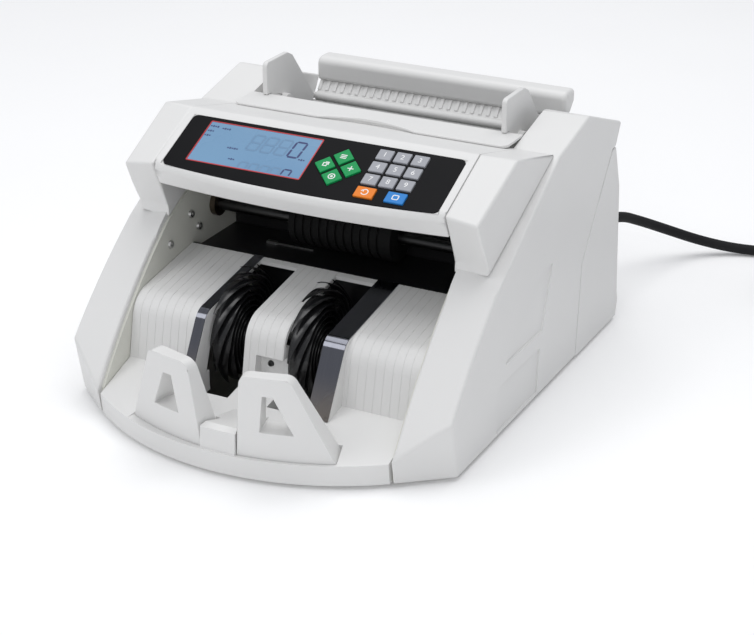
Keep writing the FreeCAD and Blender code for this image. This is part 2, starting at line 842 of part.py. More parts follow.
def make_tray():
    body = new_body("stacker_tray")
    wall = s.cover_wall
    rear_y = s.deck_foot_y + s.ramp_rear
    rim_plan = tray_plan(s.tray_corner_y, tray_radius, rear_y)
    ramp_plan = tray_plan(s.deck_foot_y, arc_radius(tray_half, s.ramp_bow), rear_y)
    low = new_sketch(body, "XY_Plane", [rim_plan], s.rim_z)
    high = new_sketch(body, "XY_Plane", [ramp_plan], s.deck_foot_z)
    loft(body, [low, high])
    apron = pad(body, "XY_Plane", [rim_plan], s.rim_z, s.rim_z - floor_z)
    tilt(apron, (0, s.tray_lean, -1))
    inside_rear_y = rear_y + wall
    inside = tray_plan(s.tray_corner_y + 3 * wall, tray_radius - wall, inside_rear_y, tray_half - wall)
    pocket(body, "XY_Plane", [inside], floor_z - s.cut_past, s.rim_z - floor_z - wall + s.cut_past)
    pad(body, "YZ_Plane", [deck_band(s.deck_gauge)], -tray_half, tray_half * 2)
    block_top_z = s.sensor_top_z + s.sensor_wall * 3
    block_rear_y = s.deck_foot_y + s.sensor_deep + s.sensor_wall * 3.5
    back_block = [
        (s.deck_foot_y + s.deck_gauge / 2, s.rim_z), (block_rear_y, s.rim_z), (block_rear_y, block_top_z),
        (s.deck_foot_y + (block_top_z - s.deck_foot_z) * wall_run + s.deck_gauge / 2, block_top_z),
    ]
    block_left = -s.sensor_half - s.sensor_wall
    pad(body, "YZ_Plane", [back_block], block_left, right_slot[0] - block_left)
    # Grooves across the deck and its front wall, running front to rear
    groove_start = -tray_half + s.groove_pitch
    groove = pocket(body, "YZ_Plane", [deck_band(s.groove_deep)], groove_start, s.groove_wide)
    groove_span = tray_half * 2 - s.groove_pitch * 2
    row_of(body, groove, groove.Profile[0], groove_span, number(groove_span) // number(s.groove_pitch) + 1)
    for begin, wide in ((left_strip_start, s.left_strip_wide), (right_slot[1], s.right_strip_wide)):
        pad(body, "YZ_Plane", [carrier_outline()], begin, wide)
        middle = begin + wide / 2
        round_edges(body, s.carrier_round, [(middle, s.carrier_top_y, deck_z(s.carrier_top_y))])
    sill_rear_y = s.carrier_foot_y - s.sill_rear
    sill_top_z = s.rim_z + s.sill_height
    sill_front_y = s.tray_apex_y + s.sill_front
    sill = [
        (sill_front_y, s.rim_z - wall), (sill_rear_y, s.rim_z - wall / 2),
        (sill_rear_y, s.rim_z + s.sill_rear_height), (sill_front_y + s.sill_crown, sill_top_z),
        (sill_front_y + s.sill_front, sill_top_z - s.sill_front),
    ]
    sill_half = s.stopper_inner - s.seam_gap
    pad(body, "YZ_Plane", [sill], s.stopper_mid_x - sill_half, sill_half * 2)
    for begin, end in (left_slot, right_slot):
        slot = box_loop(begin, end, s.carrier_foot_y, s.deck_rear_y - s.slot_bridge)
        pocket(body, "XY_Plane", [slot], floor_z - s.cut_past, s.deck_rear_z)
    recess_front_y = s.deck_foot_y - s.sensor_wall * 2
    recess_rear_y = s.deck_foot_y + s.sensor_deep + s.sensor_wall * 2
    recess = box_loop(-s.sensor_half, right_slot[0] + s.cut_past, recess_front_y, recess_rear_y)
    pocket(body, "XY_Plane", [recess], s.deck_foot_z, s.sensor_top_z - s.deck_foot_z)
    for mirror in (1, -1):
        pocket(body, "XY_Plane", [stopper_seat(mirror)], s.rim_z, s.sill_height * 2)
    plate_room = box_loop(-s.bay_half, s.bay_half, s.base_front_y - s.seam_gap, inside_rear_y + wall)
    pocket(body, "XY_Plane", [plate_room], floor_z - s.cut_past, s.base_gauge + s.cut_past)
    return body


def make_strip(label, begin, wide):
    body = new_body(label)
    lift = s.strip_gauge
    top_z = deck_z(s.carrier_top_y)
    run = (s.carrier_top_y - s.carrier_foot_y) / (top_z - s.carrier_foot_z)
    front_lift = lift * root(1 + run * run)
    outer_top_y = s.carrier_top_y - front_lift + lift * run
    outline = [
        (s.carrier_foot_y - front_lift, s.carrier_foot_z), (s.carrier_foot_y, s.carrier_foot_z),
        (s.carrier_top_y, top_z), (s.deck_rear_y, s.deck_rear_z), (s.deck_rear_y, s.deck_rear_z + lift),
        (outer_top_y, top_z + lift),
    ]
    pad(body, "YZ_Plane", [outline], begin + s.strip_side_gap, wide - s.strip_side_gap * 2)
    middle = begin + wide / 2
    round_edges(body, s.carrier_round, [(middle, s.carrier_top_y, top_z)])
    round_edges(body, s.carrier_round + lift, [(middle, outer_top_y, top_z + lift)])
    return body


make_tray()
make_strip("strip_left", left_strip_start, s.left_strip_wide)
make_strip("strip_right", right_slot[1], s.right_strip_wide)


# Note stoppers: curved A-shaped plates with a triangular hole, standing on the apron
def make_stopper():
    body = new_body("stopper_right")
    front_radius = arc_radius(s.stopper_long / 2, s.stopper_bulge)
    plan = [
        (0, 0, front_radius), (s.stopper_long, 0), (s.stopper_long, s.stopper_foot), (0, s.stopper_foot),
    ]
    lean = pad(body, "XY_Plane", [plan], 0, s.stopper_tall)
    tilt(lean, (0, -s.stopper_lean, s.stopper_tall))
    top = s.stopper_tall
    above = top + s.cut_past
    far = s.stopper_long + s.cut_past
    through_start = -s.stopper_foot
    through = s.stopper_foot * 3
    pocket(body, "XZ_Plane", [[
        (s.stopper_long, 0), (far, 0), (far, above), (s.stopper_top_outer, above),
        (s.stopper_top_outer, top),
    ]], through_start, through)
    pocket(body, "XZ_Plane", [[
        (0, 0), (s.stopper_top_inner, top), (s.stopper_top_inner, above), (-s.cut_past, above),
        (-s.cut_past, 0),
    ]], through_start, through)
    back_top = s.stopper_head - s.stopper_lean
    back_far = s.stopper_foot * 2
    pocket(body, "YZ_Plane", [[
        (s.stopper_foot, s.stopper_plinth), (back_far, s.stopper_plinth), (back_far, above),
        (back_top, above), (back_top, top),
    ]], -s.cut_past, far + s.cut_past)
    pocket(body, "XZ_Plane", [[
        (s.stopper_hole_start, s.stopper_hole_low), (s.stopper_hole_end, s.stopper_hole_low),
        (s.stopper_hole_top_end, s.stopper_hole_high), (s.stopper_hole_top_start, s.stopper_hole_high),
    ]], through_start, through)
    round_edges(body, s.stopper_corner, [
        (s.stopper_top_outer, back_top / 2, top), (s.stopper_top_inner, back_top / 2, top),
    ])
    turn = FreeCAD.Rotation(FreeCAD.Vector(0, 0, 1), number(s.stopper_turn))
    body.Placement = FreeCAD.Placement(FreeCAD.Vector(), turn)
    bind(body, "Placement.Base.x", stopper_reach)
    bind(body, "Placement.Base.y", stopper_front_y)
    bind(body, "Placement.Base.z", s.rim_z)
    return body


mirrored(make_stopper(), "stopper_left", s.stopper_mid_x)


# Chassis: base plate, feet and the two side frames that carry the shafts
base_rear_y = s.rear_toe_y - s.cover_wall * 2


def make_base():
    plate = block("base_plate", (-s.bay_half, s.base_front_y, floor_z),
                  (s.bay_half * 2, base_rear_y - s.base_front_y, s.base_gauge))
    keep(plate, "base_plate")
    feet = []
    for side in (-1, 1):
        for along in (s.foot_front_y, s.foot_rear_y):
            start = ((s.bay_half - s.foot_inset) * side, along, 0)
            feet.append(round_bar("foot", "z", start, s.foot_radius, s.foot_height))
    group("feet", feet)


SHAFTS = {
    "stacker": (s.stacker_y, stacker_z),
    "feed": (s.feed_y, s.feed_z),
    "pickup": (s.pickup_y, s.pickup_z),
}
frame_rear_y = s.foot_rear_y - s.foot_radius / 4
frame_top_z = s.belt_line_z - s.seam_gap


def make_frame(label, start, has_motor):
    body = new_body(label)
    inset = s.frame_inset
    low_z = floor_z + s.seam_gap
    top_y = s.elbow_y + (frame_top_z - s.elbow_inner_z + inset) * s.frame_run
    outline = [
        (s.ankle_y + inset, low_z), (frame_rear_y, low_z), (frame_rear_y, frame_top_z),
        (top_y, frame_top_z), (s.elbow_y, s.elbow_inner_z - inset, s.pillar_radius),
        (s.ankle_y + inset, s.ankle_z),
    ]
    bores = [("circle", along, high, s.bearing_radius) for along, high in SHAFTS.values()]
    if has_motor:
        bores.append(("circle", s.motor_y, s.motor_z, s.bearing_radius))
    pad(body, "YZ_Plane", [outline] + bores, start, s.frame_gauge)


def make_bearings():
    rings = []
    for side in (-1, 1):
        for along, high in SHAFTS.values():
            begin = cover_inner - s.bearing_wide if side > 0 else -cover_inner
            start = (begin, along, high)
            ring = round_bar("ring", "x", start, s.bearing_radius, s.bearing_wide)
            bore = round_bar("bore", "x", start, s.shaft_radius + s.running_gap, s.bearing_wide)
            rings.append(cut("bearing", ring, bore))
    group("shaft_bearings", rings)


def make_frame_screws():
    heads = []
    for side in (-1, 1):
        for along, high in ((s.screw_low_y, s.screw_low_z), (s.screw_high_y, s.screw_high_z),
                            (s.screw_rear_y, s.screw_rear_z)):
            begin = s.bay_half - s.screw_head if side > 0 else -s.bay_half
            heads.append(round_bar("screw", "x", (begin, along, high), s.screw_radius, s.screw_head))
    group("frame_screws", heads)


def make_throat():
    body = new_body("throat_plate")
    gauge = s.throat_gauge
    front_y = s.deck_rear_y + s.cut_past
    low = s.throat_floor_z - gauge
    outline = [
        (front_y, low), (s.throat_back_y + gauge, low), (s.throat_back_y + gauge, frame_top_z),
        (s.throat_back_y, frame_top_z), (s.throat_back_y, s.throat_floor_z),
        (front_y + gauge, s.throat_floor_z), (front_y + gauge, s.throat_floor_z + s.throat_lip),
        (front_y, s.throat_floor_z + s.throat_lip),
    ]
    half = s.bay_half - s.seam_gap
    pad(body, "YZ_Plane", [outline], -half, half * 2)


make_base()
make_frame("side_frame_left", -cover_inner, True)
make_frame("side_frame_right", s.bay_half, False)
make_bearings()
make_frame_screws()
make_throat()


# Drive train: three shafts geared one to one by belts outside the left frame
LAST_LANE = 2
lane_share = (cover_wide - s.pulley_clear) / (s.pulley_start + s.pulley_step * LAST_LANE + s.pulley_wide)
lane_wide = s.pulley_wide * lane_share
lane_step = s.pulley_step * lane_share


def lane_x(lane):
    return -cover_inner - s.pulley_start * lane_share - lane_step * lane - lane_wide


def make_shaft(label, axis, first_lane, last_lane):
    far = lane_x(last_lane)
    along, high = axis
    rod = round_bar("rod", "x", (far, along, high), s.shaft_radius, cover_inner - far)
    wide = lane_wide + lane_step * (last_lane - first_lane)
    pulley = round_bar("pulley", "x", (far, along, high), s.pulley_radius, wide)
    return keep(fuse(label, [rod, pulley]), label)


def make_roller(label, axis, radius, half):
    body = new_body(label)
    along, high = axis
    ring = [("circle", along, high, radius), ("circle", along, high, s.shaft_radius)]
    pad(body, "YZ_Plane", ring, -half, half * 2)
    rim = [("circle", along, high, radius + s.cut_past), ("circle", along, high, radius - s.rib_deep)]
    groove = pocket(body, "YZ_Plane", rim, -half + s.rib_pitch - s.rib_gap, s.rib_gap)
    span = half * 2 - s.rib_pitch * 2
    count = number(span) // number(s.rib_pitch) + 1
    row_of(body, groove, groove.Profile[0], s.rib_pitch * (count - 1), count)


def make_belt(label, axis, other, lane):
    run_y = other[0] - axis[0]
    run_z = other[1] - axis[1]
    long = root(run_y * run_y + run_z * run_z)
    slope = math.degrees(math.atan2(number(run_z), number(run_y)))
    start_x = lane_x(lane)

    def loop(radius):
        ends = []
        for middle in (axis, other):
            ends.append(round_bar("end", "x", (start_x, *middle), radius, lane_wide))
        web = block("web", (start_x, axis[0] + run_z / long * radius, axis[1] - run_y / long * radius),
                    (lane_wide, long, radius * 2))
        web.Placement.Rotation = FreeCAD.Rotation(FreeCAD.Vector(1, 0, 0), slope)
        return fuse("loop", ends + [web])

    inner = s.pulley_radius + s.belt_gap
    keep(cut(label, loop(inner + s.belt_gauge), loop(inner)), label)


def make_motor():
    start = (-s.bay_half, s.motor_y, s.motor_z)
    can = round_bar("can", "x", start, s.motor_radius, s.motor_long)
    bore = round_bar("bore", "x", start, s.motor_shaft + s.running_gap, s.motor_grip)
    keep(cut("drive_motor", can, bore), "drive_motor")
    far = lane_x(0)
    rod_long = s.motor_grip - s.motor_end_gap - s.bay_half - far
    rod = round_bar("rod", "x", (far, s.motor_y, s.motor_z), s.motor_shaft, rod_long)
    pulley = round_bar("pulley", "x", (far, s.motor_y, s.motor_z), s.pulley_radius, lane_wide)
    keep(fuse("motor_pulley", [rod, pulley]), "motor_pulley")


# A blade winds out from the hub in a spiral: out along its far side and back along its near side
def blade_outline():
    steps = int(round(number(s.blade_steps)))
    growth = (s.wheel_radius - s.wheel_hub) / steps
    far_side = []
    near_side = []
    for step in range(steps + 1):
        turn = -math.radians(number(s.blade_sweep) * step / steps)
        far = s.wheel_hub + growth * step
        near = far - s.blade_gauge
        far_bend = (far + growth / 2) * s.blade_bend
        near_bend = (near - growth / 2) * s.blade_bend
        far_side.append((far * math.cos(turn), far * math.sin(turn), -far_bend))
        near_side.insert(0, (near * math.cos(turn), near * math.sin(turn), near_bend))
    far_side[-1] = far_side[-1][:2]
    near_side[-1] = near_side[-1][:2]
    return far_side + near_side


def make_wheel(label, begin):
    body = new_body(label)
    hub = [("circle", 0, 0, s.wheel_hub), ("circle", 0, 0, s.shaft_radius)]
    pad(body, "YZ_Plane", hub, 0, s.wheel_wide)
    fin = pad(body, "YZ_Plane", [blade_outline()], 0, s.wheel_wide)
    ring = body.newObject("PartDesign::PolarPattern", f"{label}_ring")
    ring.Originals = [fin]
    ring.Axis = (fin.Profile[0], ["N_Axis"])
    ring.Angle = 360
    ring.Occurrences = int(round(number(s.blade_count)))
    body.Tip = ring
    bind(body, "Placement.Base.x", begin)
    bind(body, "Placement.Base.y", s.stacker_y)
    bind(body, "Placement.Base.z", stacker_z)


make_shaft("stacker_shaft", SHAFTS["stacker"], 1, 1)
make_shaft("feed_shaft", SHAFTS["feed"], 0, LAST_LANE)
make_shaft("pickup_shaft", SHAFTS["pickup"], LAST_LANE, LAST_LANE)
make_roller("feed_roller", SHAFTS["feed"], s.feed_radius, s.feed_half)
make_roller("pickup_roller", SHAFTS["pickup"], s.pickup_radius, s.pickup_half)
make_motor()
make_belt("drive_belt", (s.motor_y, s.motor_z), SHAFTS["feed"], 0)
make_belt("stacker_belt", SHAFTS["stacker"], SHAFTS["feed"], 1)
make_belt("pickup_belt", SHAFTS["feed"], SHAFTS["pickup"], 2)
make_wheel("stacker_wheel_left", s.wheel_left_x - s.wheel_wide / 2)
make_wheel("stacker_wheel_right", s.wheel_right_x - s.wheel_wide / 2)


# Head: bowed display cover, keypad sheet, display and sprung keys
def panel_feature(body, kind, outlines, out, depth):
    sketch = new_sketch(body, "XY_Plane", outlines)
    place = FreeCAD.Vector(*[number(part) for part in on_panel(0, 0, out)])
    turn = FreeCAD.Rotation(FreeCAD.Vector(1, 0, 0), PANEL_ANGLE)
    sketch.setExpression("AttachmentOffset.Base.z", None)
    sketch.AttachmentOffset = FreeCAD.Placement(place, turn)
    feature = body.newObject(f"PartDesign::{kind}", f"{body.Label}_{kind.lower()}")
    feature.Profile = sketch
    bind(feature, "Length", depth)
    return feature


def sheet_outline(grow):
    half = panel_half + grow
    low = s.panel_bottom - grow
    high = s.panel_top + grow
    return [(-half, low, arc_radius(half, s.panel_bow)), (half, low), (half, high), (-half, high)]


def window_loop(grow):
    low = s.window_bottom - grow
    return box_loop(s.window_left - grow, s.window_right + grow, low, s.window_top + grow)


def board_loop(grow):
    rim = s.board_rim + grow
    key_reach = s.digit_tall / 2 + s.board_rim / 2 + grow
    return box_loop(s.window_left - rim, s.zero_key_x + s.bottom_key_wide + rim,
                    s.bottom_key_y - key_reach, s.digit_top + key_reach)


key_margin = s.digit_tall / 2 + s.board_rim / 3
key_area = box_loop(s.diamond_x - s.diamond_step - s.diamond_side, s.zero_key_x + s.bottom_key_wide,
                    s.bottom_key_y - key_margin, s.digit_top + key_margin)


def make_display_cover():
    body = new_body("display_cover")
    rear_y = s.valley_y - s.seam_gap
    rear_z = crest_z + (rear_y - s.crest_y) * (s.valley_z - crest_z) / (s.valley_y - s.crest_y)
    front_y = s.brow_y - s.brow_bow - s.cover_wall
    pad(body, "YZ_Plane", [[
        (front_y, s.lip_bottom_z), (rear_y, s.lip_bottom_z), (rear_y, rear_z), (s.crest_y, crest_z),
        (front_y, panel_z(front_y)),
    ]], -head_half, head_half * 2)
    bow_radius = arc_radius(head_half, s.brow_bow)
    trim_y = front_y - s.brow_z
    trim = pocket(body, "XY_Plane", [[
        (-head_half, s.brow_y, bow_radius), (head_half, s.brow_y), (head_half, trim_y),
        (-head_half, trim_y),
    ]], s.brow_z, s.brow_z)
    tilt(trim, (0, s.lip_run, -1))
    round_edges(body, s.brow_round, [(0, s.brow_y - s.brow_bow, panel_z(s.brow_y - s.brow_bow))])
    thick = s.cover_wall * rise_root
    in_y = s.brow_y + s.brow_wall
    in_drop = panel_z(in_y) - thick - s.lip_bottom_z
    past = s.cut_past
    pocket(body, "YZ_Plane", [[
        (in_y + (in_drop + past) * s.lip_run, s.lip_bottom_z - past),
        (rear_y + past, s.lip_bottom_z - past),
        (rear_y + past, rear_z - s.cover_wall), (s.crest_y, crest_z - thick), (in_y, panel_z(in_y) - thick),
    ]], -head_half - past, (head_half + past) * 2)
    panel_feature(body, "Pocket", [sheet_outline(s.key_gap)], 0, s.panel_gauge)
    panel_feature(body, "Pocket", [window_loop(s.key_gap)], past, s.cover_wall * 2)
    panel_feature(body, "Pocket", [key_area], past, s.cover_wall * 2)
    panel_feature(body, "Pocket", [board_loop(s.key_gap)], -s.cover_wall, s.board_gauge * 3)


key_low = -s.cover_wall + s.key_float
key_tall = s.key_proud - key_low
KEYS = []
for row in range(3):
    for column in range(3):
        place = (s.digit_left + s.digit_pitch_x * column, s.digit_top - s.digit_pitch_y * row)
        KEYS.append((f"key_{row * 3 + column + 1}", place, s.digit_wide, s.digit_tall, 0))
KEYS.append(("key_clear", (s.clear_key_x, s.bottom_key_y), s.bottom_key_wide, s.digit_tall, 0))
KEYS.append(("key_0", (s.zero_key_x, s.bottom_key_y), s.bottom_key_wide, s.digit_tall, 0))
for name, across, upward in (("north", 0, 1), ("east", 1, 0), ("south", 0, -1), ("west", -1, 0)):
    place = (s.diamond_x + s.diamond_step * across, s.diamond_y + s.diamond_step * upward)
    KEYS.append((f"key_{name}", place, s.diamond_side, s.diamond_side, 45))


def key_loop(place, wide, tall, spin, grow):
    right, up = place
    half = wide / 2 + grow
    rise = tall / 2 + grow
    if spin:
        reach = half * math.sqrt(2)
        return [(right, up - reach), (right + reach, up), (right, up + reach), (right - reach, up)]
    return box_loop(right - half, right + half, up - rise, up + rise)


def make_keypad():
    body = new_body("keypad_panel")
    openings = [window_loop(0)] + [key_loop(*key[1:], s.key_gap) for key in KEYS]
    panel_feature(body, "Pad", [sheet_outline(0)] + openings, -s.panel_gauge, s.panel_gauge)
    for label, place, wide, tall, spin in KEYS:
        key = new_body(label)
        panel_feature(key, "Pad", [key_loop(place, wide, tall, spin, 0)], key_low, key_tall)
    window = new_body("display_window")
    panel_feature(window, "Pad", [window_loop(0)], -s.cover_wall, s.cover_wall)
    board = new_body("display_board")
    panel_feature(board, "Pad", [board_loop(0)], -s.cover_wall - s.board_gauge, s.board_gauge)


make_display_cover()
make_keypad()


# Hopper: feed plate with a finger notch, two sliding note guides on a rail
hopper_half = shoulder_half - s.seam_gap
guide_x = shoulder_half - s.guide_inset
flap_half = shoulder_half - s.flap_gap
bar_half = shoulder_half - s.bar_gap


def drop_y(high):
    fall = (s.hopper_drop_y - s.hopper_rear_y) / (s.hopper_z - s.hopper_drop_z)
    return s.hopper_rear_y + (s.hopper_z - high) * fall


def make_hopper():
    body = new_body("hopper_plate")
    gauge = s.hopper_gauge
    pad(body, "YZ_Plane", [[
        (s.hopper_front_y, s.hopper_z - gauge), (s.hopper_rear_y - s.hopper_bend_wall, s.hopper_z - gauge),
        (s.hopper_drop_y - s.hopper_drop_wall, s.hopper_drop_z), (s.hopper_drop_y, s.hopper_drop_z),
        (s.hopper_rear_y, s.hopper_z), (s.hopper_front_y, s.hopper_z),
    ]], -hopper_half, hopper_half * 2)
    notch_radius = arc_radius(s.finger_half, s.finger_deep)
    pocket(body, "XY_Plane", [[
        (s.finger_half, s.hopper_front_y, notch_radius), (-s.finger_half, s.hopper_front_y),
        (-s.finger_half, s.hopper_front_y - gauge), (s.finger_half, s.hopper_front_y - gauge),
    ]], s.hopper_z - gauge * 2, gauge * 3)
    middle_z = s.hopper_z - gauge / 2
    corners = [(half, s.hopper_front_y, middle_z) for half in (hopper_half, -hopper_half)]
    round_edges(body, s.hopper_corner, corners)
    rail_start = (-shoulder_half, s.rail_y, s.rail_z)
    keep(round_bar("guide_rail", "x", rail_start, s.rail_radius, shoulder_half * 2), "guide_rail")


def make_guide():
    body = new_body("guide_right")
    skim = s.guide_skim
    nip = s.guide_nip
    bore = ("circle", s.rail_y, s.rail_z, s.rail_radius + s.running_gap)
    low_z = s.guide_low_z
    foot_z = s.hopper_z + s.seam_gap
    pad(body, "YZ_Plane", [[
        (drop_y(low_z) + skim, low_z), (s.guide_tail_y - nip, low_z), (s.guide_tail_y, s.guide_tail_z),
        (s.guide_top_y + nip, s.guide_top_z - nip), (s.guide_top_y - nip, s.guide_top_z),
        (s.guide_front_y, s.guide_top_z), (s.guide_front_y, foot_z), (drop_y(foot_z) + skim, foot_z),
    ], bore], guide_x - s.guide_gauge / 2, s.guide_gauge)
    hub = [("circle", s.rail_y, s.rail_z, s.guide_hub_radius), bore]
    pad(body, "YZ_Plane", hub, guide_x - s.guide_hub_long / 2, s.guide_hub_long)
    round_edges(body, s.guide_round, [(guide_x, s.guide_front_y, s.guide_top_z)])
    return body


# Back flap with its ribs and grip bar, hinged between the shoulders
flap_cos = math.cos(math.radians(number(s.flap_angle)))
flap_sin = math.sin(math.radians(number(s.flap_angle)))


def flap_point(along, out):
    point_y = s.flap_pivot_y + along * flap_cos - out * flap_sin
    return (point_y, s.flap_pivot_z + along * flap_sin + out * flap_cos)


def flap_top(out):
    base_y, base_z = flap_point(0, out)
    return (base_y + (s.bar_low_z - base_z) * flap_cos / flap_sin, s.bar_low_z)


def make_flap():
    body = new_body("back_flap")
    half = s.flap_gauge / 2
    pin = [("circle", s.flap_pivot_y, s.flap_pivot_z, s.flap_pin_radius)]
    barrel = [("circle", s.flap_pivot_y, s.flap_pivot_z, s.flap_barrel_radius)]
    pad(body, "YZ_Plane", barrel, -flap_half, flap_half * 2)
    pad(body, "YZ_Plane", pin, -shoulder_half - s.flap_pin_long, (shoulder_half + s.flap_pin_long) * 2)
    plate = [flap_point(0, -half), flap_top(-half), flap_top(half), flap_point(0, half)]
    pad(body, "YZ_Plane", [plate], -flap_half, flap_half * 2)
    tall = half + s.flap_rib_tall
    sunk = half - s.flap_rib_sink
    start = s.flap_rib_start
    rib_outline = [flap_point(start, sunk), flap_top(sunk), flap_top(tall), flap_point(start, tall)]
    rib = pad(body, "YZ_Plane", [rib_outline], -flap_half, s.flap_rib_wide)
    count = (number(flap_half) * 2 - number(s.flap_rib_wide)) // number(s.flap_rib_pitch) + 1
    row_of(body, rib, rib.Profile[0], s.flap_rib_pitch * (count - 1), count)
    bar = new_body("carry_bar")
    pad(bar, "YZ_Plane", [[
        (s.bar_front_y, s.bar_low_z), (s.bar_rear_y - s.bar_cut, s.bar_low_z),
        (s.bar_rear_y, s.bar_low_z + s.bar_cut), (s.bar_rear_y, s.bar_top_z), (s.bar_front_y, s.bar_top_z),
    ]], -bar_half, bar_half * 2)
    round_edges(bar, s.bar_round, [(0, s.bar_front_y, s.bar_top_z)])
    round_edges(bar, s.bar_rear_round, [(0, s.bar_rear_y, s.bar_top_z)])


make_hopper()
mirrored(make_guide(), "guide_left")
make_flap()


# Rear cover: wraps the back and the rear of both sides, with vents and the mains inlet
def make_rear_cover():
    body = new_body("rear_cover")
    wall = s.cover_wall
    gap = s.seam_gap
    pad(body, "YZ_Plane", [[
        (s.heel_y + gap, floor_z), (s.rear_toe_y, floor_z), (s.rear_skirt_y, s.rear_skirt_z),
        (s.rear_waist_y, s.rear_waist_z), (s.rear_shoulder_y, s.rear_shoulder_z),
        (s.tail_y, s.tail_z - gap), (s.nape_y + gap, s.nape_z - gap * 2), (s.hip_y + gap, s.hip_z - gap),
        (s.waist_y + gap, s.waist_z - gap / 2),
    ]], -s.body_half, s.body_half * 2)
    inside = s.body_half - wall - s.side_draft
    front_y = s.heel_y - wall * 2
    low_z = floor_z - s.cut_past
    slant = s.rear_slant_wall
    top_z = s.tail_z - slant
    pocket(body, "YZ_Plane", [[
        (front_y, low_z), (s.rear_toe_y - wall, low_z), (s.rear_skirt_y - slant, s.rear_skirt_z),
        (s.rear_waist_y - wall, s.rear_waist_z), (s.rear_shoulder_y - wall, s.rear_shoulder_z),
        (s.tail_y - slant, top_z), (front_y, top_z),
    ]], -inside, inside * 2)
    for side in (1, -1):
        pocket(body, "XZ_Plane", [draft_wedge(side)], front_y, s.cut_through)
    wall_start_y = s.rear_shoulder_y - wall * 5
    wall_deep = s.rear_skirt_y + wall - wall_start_y
    pocket(body, "XZ_Plane", [inlet_loop(-s.inlet_rim + gap)], wall_start_y, wall_deep)
    slit = box_loop(s.vent_left_x, s.vent_left_x + s.vent_wide, s.vent_z, s.vent_z + s.vent_tall)
    vent = pocket(body, "XZ_Plane", [slit], wall_start_y, wall_deep)
    pattern = row_of(body, vent, vent.Profile[0], s.vent_pitch * (s.vent_count - 1), number(s.vent_count))
    pattern.Direction = (plane_of(body, "X_Axis"), [""])


def inlet_loop(grow):
    half = s.inlet_wide / 2 + grow
    low_z = s.inlet_z - s.inlet_low - grow
    return box_loop(inlet_x - half, inlet_x + half, low_z, s.inlet_z + s.inlet_high + grow)


make_rear_cover()


# Mains inlet with its rocker switch, and the boards inside
switch_z = s.inlet_z + s.switch_rise
switch_y = s.inlet_face_y + s.switch_proud - s.switch_radius


def make_inlet():
    body = new_body("power_inlet")
    back_y = s.inlet_face_y - s.inlet_deep
    pad(body, "XZ_Plane", [inlet_loop(-s.inlet_rim)], back_y, s.inlet_deep)
    pad(body, "XZ_Plane", [inlet_loop(0)], s.inlet_face_y - s.inlet_flange, s.inlet_flange)
    half = s.socket_wide / 2
    tall_half = s.socket_tall / 2
    socket = box_loop(inlet_x - half, inlet_x + half, s.inlet_z - tall_half, s.inlet_z + tall_half)
    pocket(body, "XZ_Plane", [socket], s.inlet_face_y - s.socket_deep, s.socket_deep + s.cut_past)
    bay = s.switch_wide / 2 + s.switch_gap
    tall = s.switch_radius + s.switch_gap
    bay_loop = box_loop(inlet_x - bay, inlet_x + bay, switch_z - tall, switch_z + tall)
    pocket(body, "XZ_Plane", [bay_loop], switch_y - tall, tall * 2 + s.cut_past)
    pin = [("circle", switch_y, switch_z, s.switch_pin + s.running_gap)]
    pin_reach = bay + s.switch_pin_long
    pocket(body, "YZ_Plane", pin, inlet_x - pin_reach - s.seam_gap, (pin_reach + s.seam_gap) * 2)
    rocker = new_body("power_switch")
    half_wide = s.switch_wide / 2
    barrel = [("circle", switch_y, switch_z, s.switch_radius)]
    pad(rocker, "YZ_Plane", barrel, inlet_x - half_wide, s.switch_wide)
    trunnion = [("circle", switch_y, switch_z, s.switch_pin)]
    pad(rocker, "YZ_Plane", trunnion, inlet_x - pin_reach, pin_reach * 2)
    face_y = switch_y + s.switch_face
    edge_y = switch_y + s.switch_edge
    far_y = switch_y + s.switch_radius * 2
    reach = s.switch_radius + s.cut_past
    pocket(rocker, "YZ_Plane", [[
        (edge_y, switch_z - reach), (far_y, switch_z - reach), (far_y, switch_z + reach),
        (edge_y, switch_z + reach), (face_y, switch_z),
    ]], inlet_x - half_wide - s.cut_past, s.switch_wide + s.cut_past * 2)


def make_main_board():
    post = s.board_post
    inset = s.post_inset
    plate = block("plate", (-s.board_half, s.board_front_y, base_top + post),
                  (s.board_half * 2, s.board_deep, s.board_gauge))
    parts = [plate]
    for side in (-1, 1):
        for along in (s.board_front_y + inset, s.board_front_y + s.board_deep - inset):
            start = ((s.board_half - inset) * side, along, base_top)
            parts.append(round_bar("post", "z", start, s.post_radius, post))
    core_at = (-s.board_half / 2, s.board_front_y + inset * 2, base_top + post + s.board_gauge)
    parts.append(block("core", core_at, (s.board_half, s.board_deep - inset * 4, s.core_tall)))
    keep(fuse("main_board", parts), "main_board")


make_inlet()
make_main_board()


# Mains cord: connector with its strain relief, the free run, the coil and the plug
def cone_bar(name, start, near, far, long):
    solid = doc.addObject("Part::Cone", name)
    solid.Placement = FreeCAD.Placement(FreeCAD.Vector(), FreeCAD.Rotation(*TURN_TO["y"]))
    bind(solid, "Radius1", near)
    bind(solid, "Radius2", far)
    bind(solid, "Height", long)
    for axis, size in zip("xyz", start):
        bind(solid, f"Placement.Base.{axis}", size)
    return solid


relief_y = s.inlet_face_y + s.connector_long
cord_start = (inlet_x, relief_y + s.relief_long, s.inlet_z)


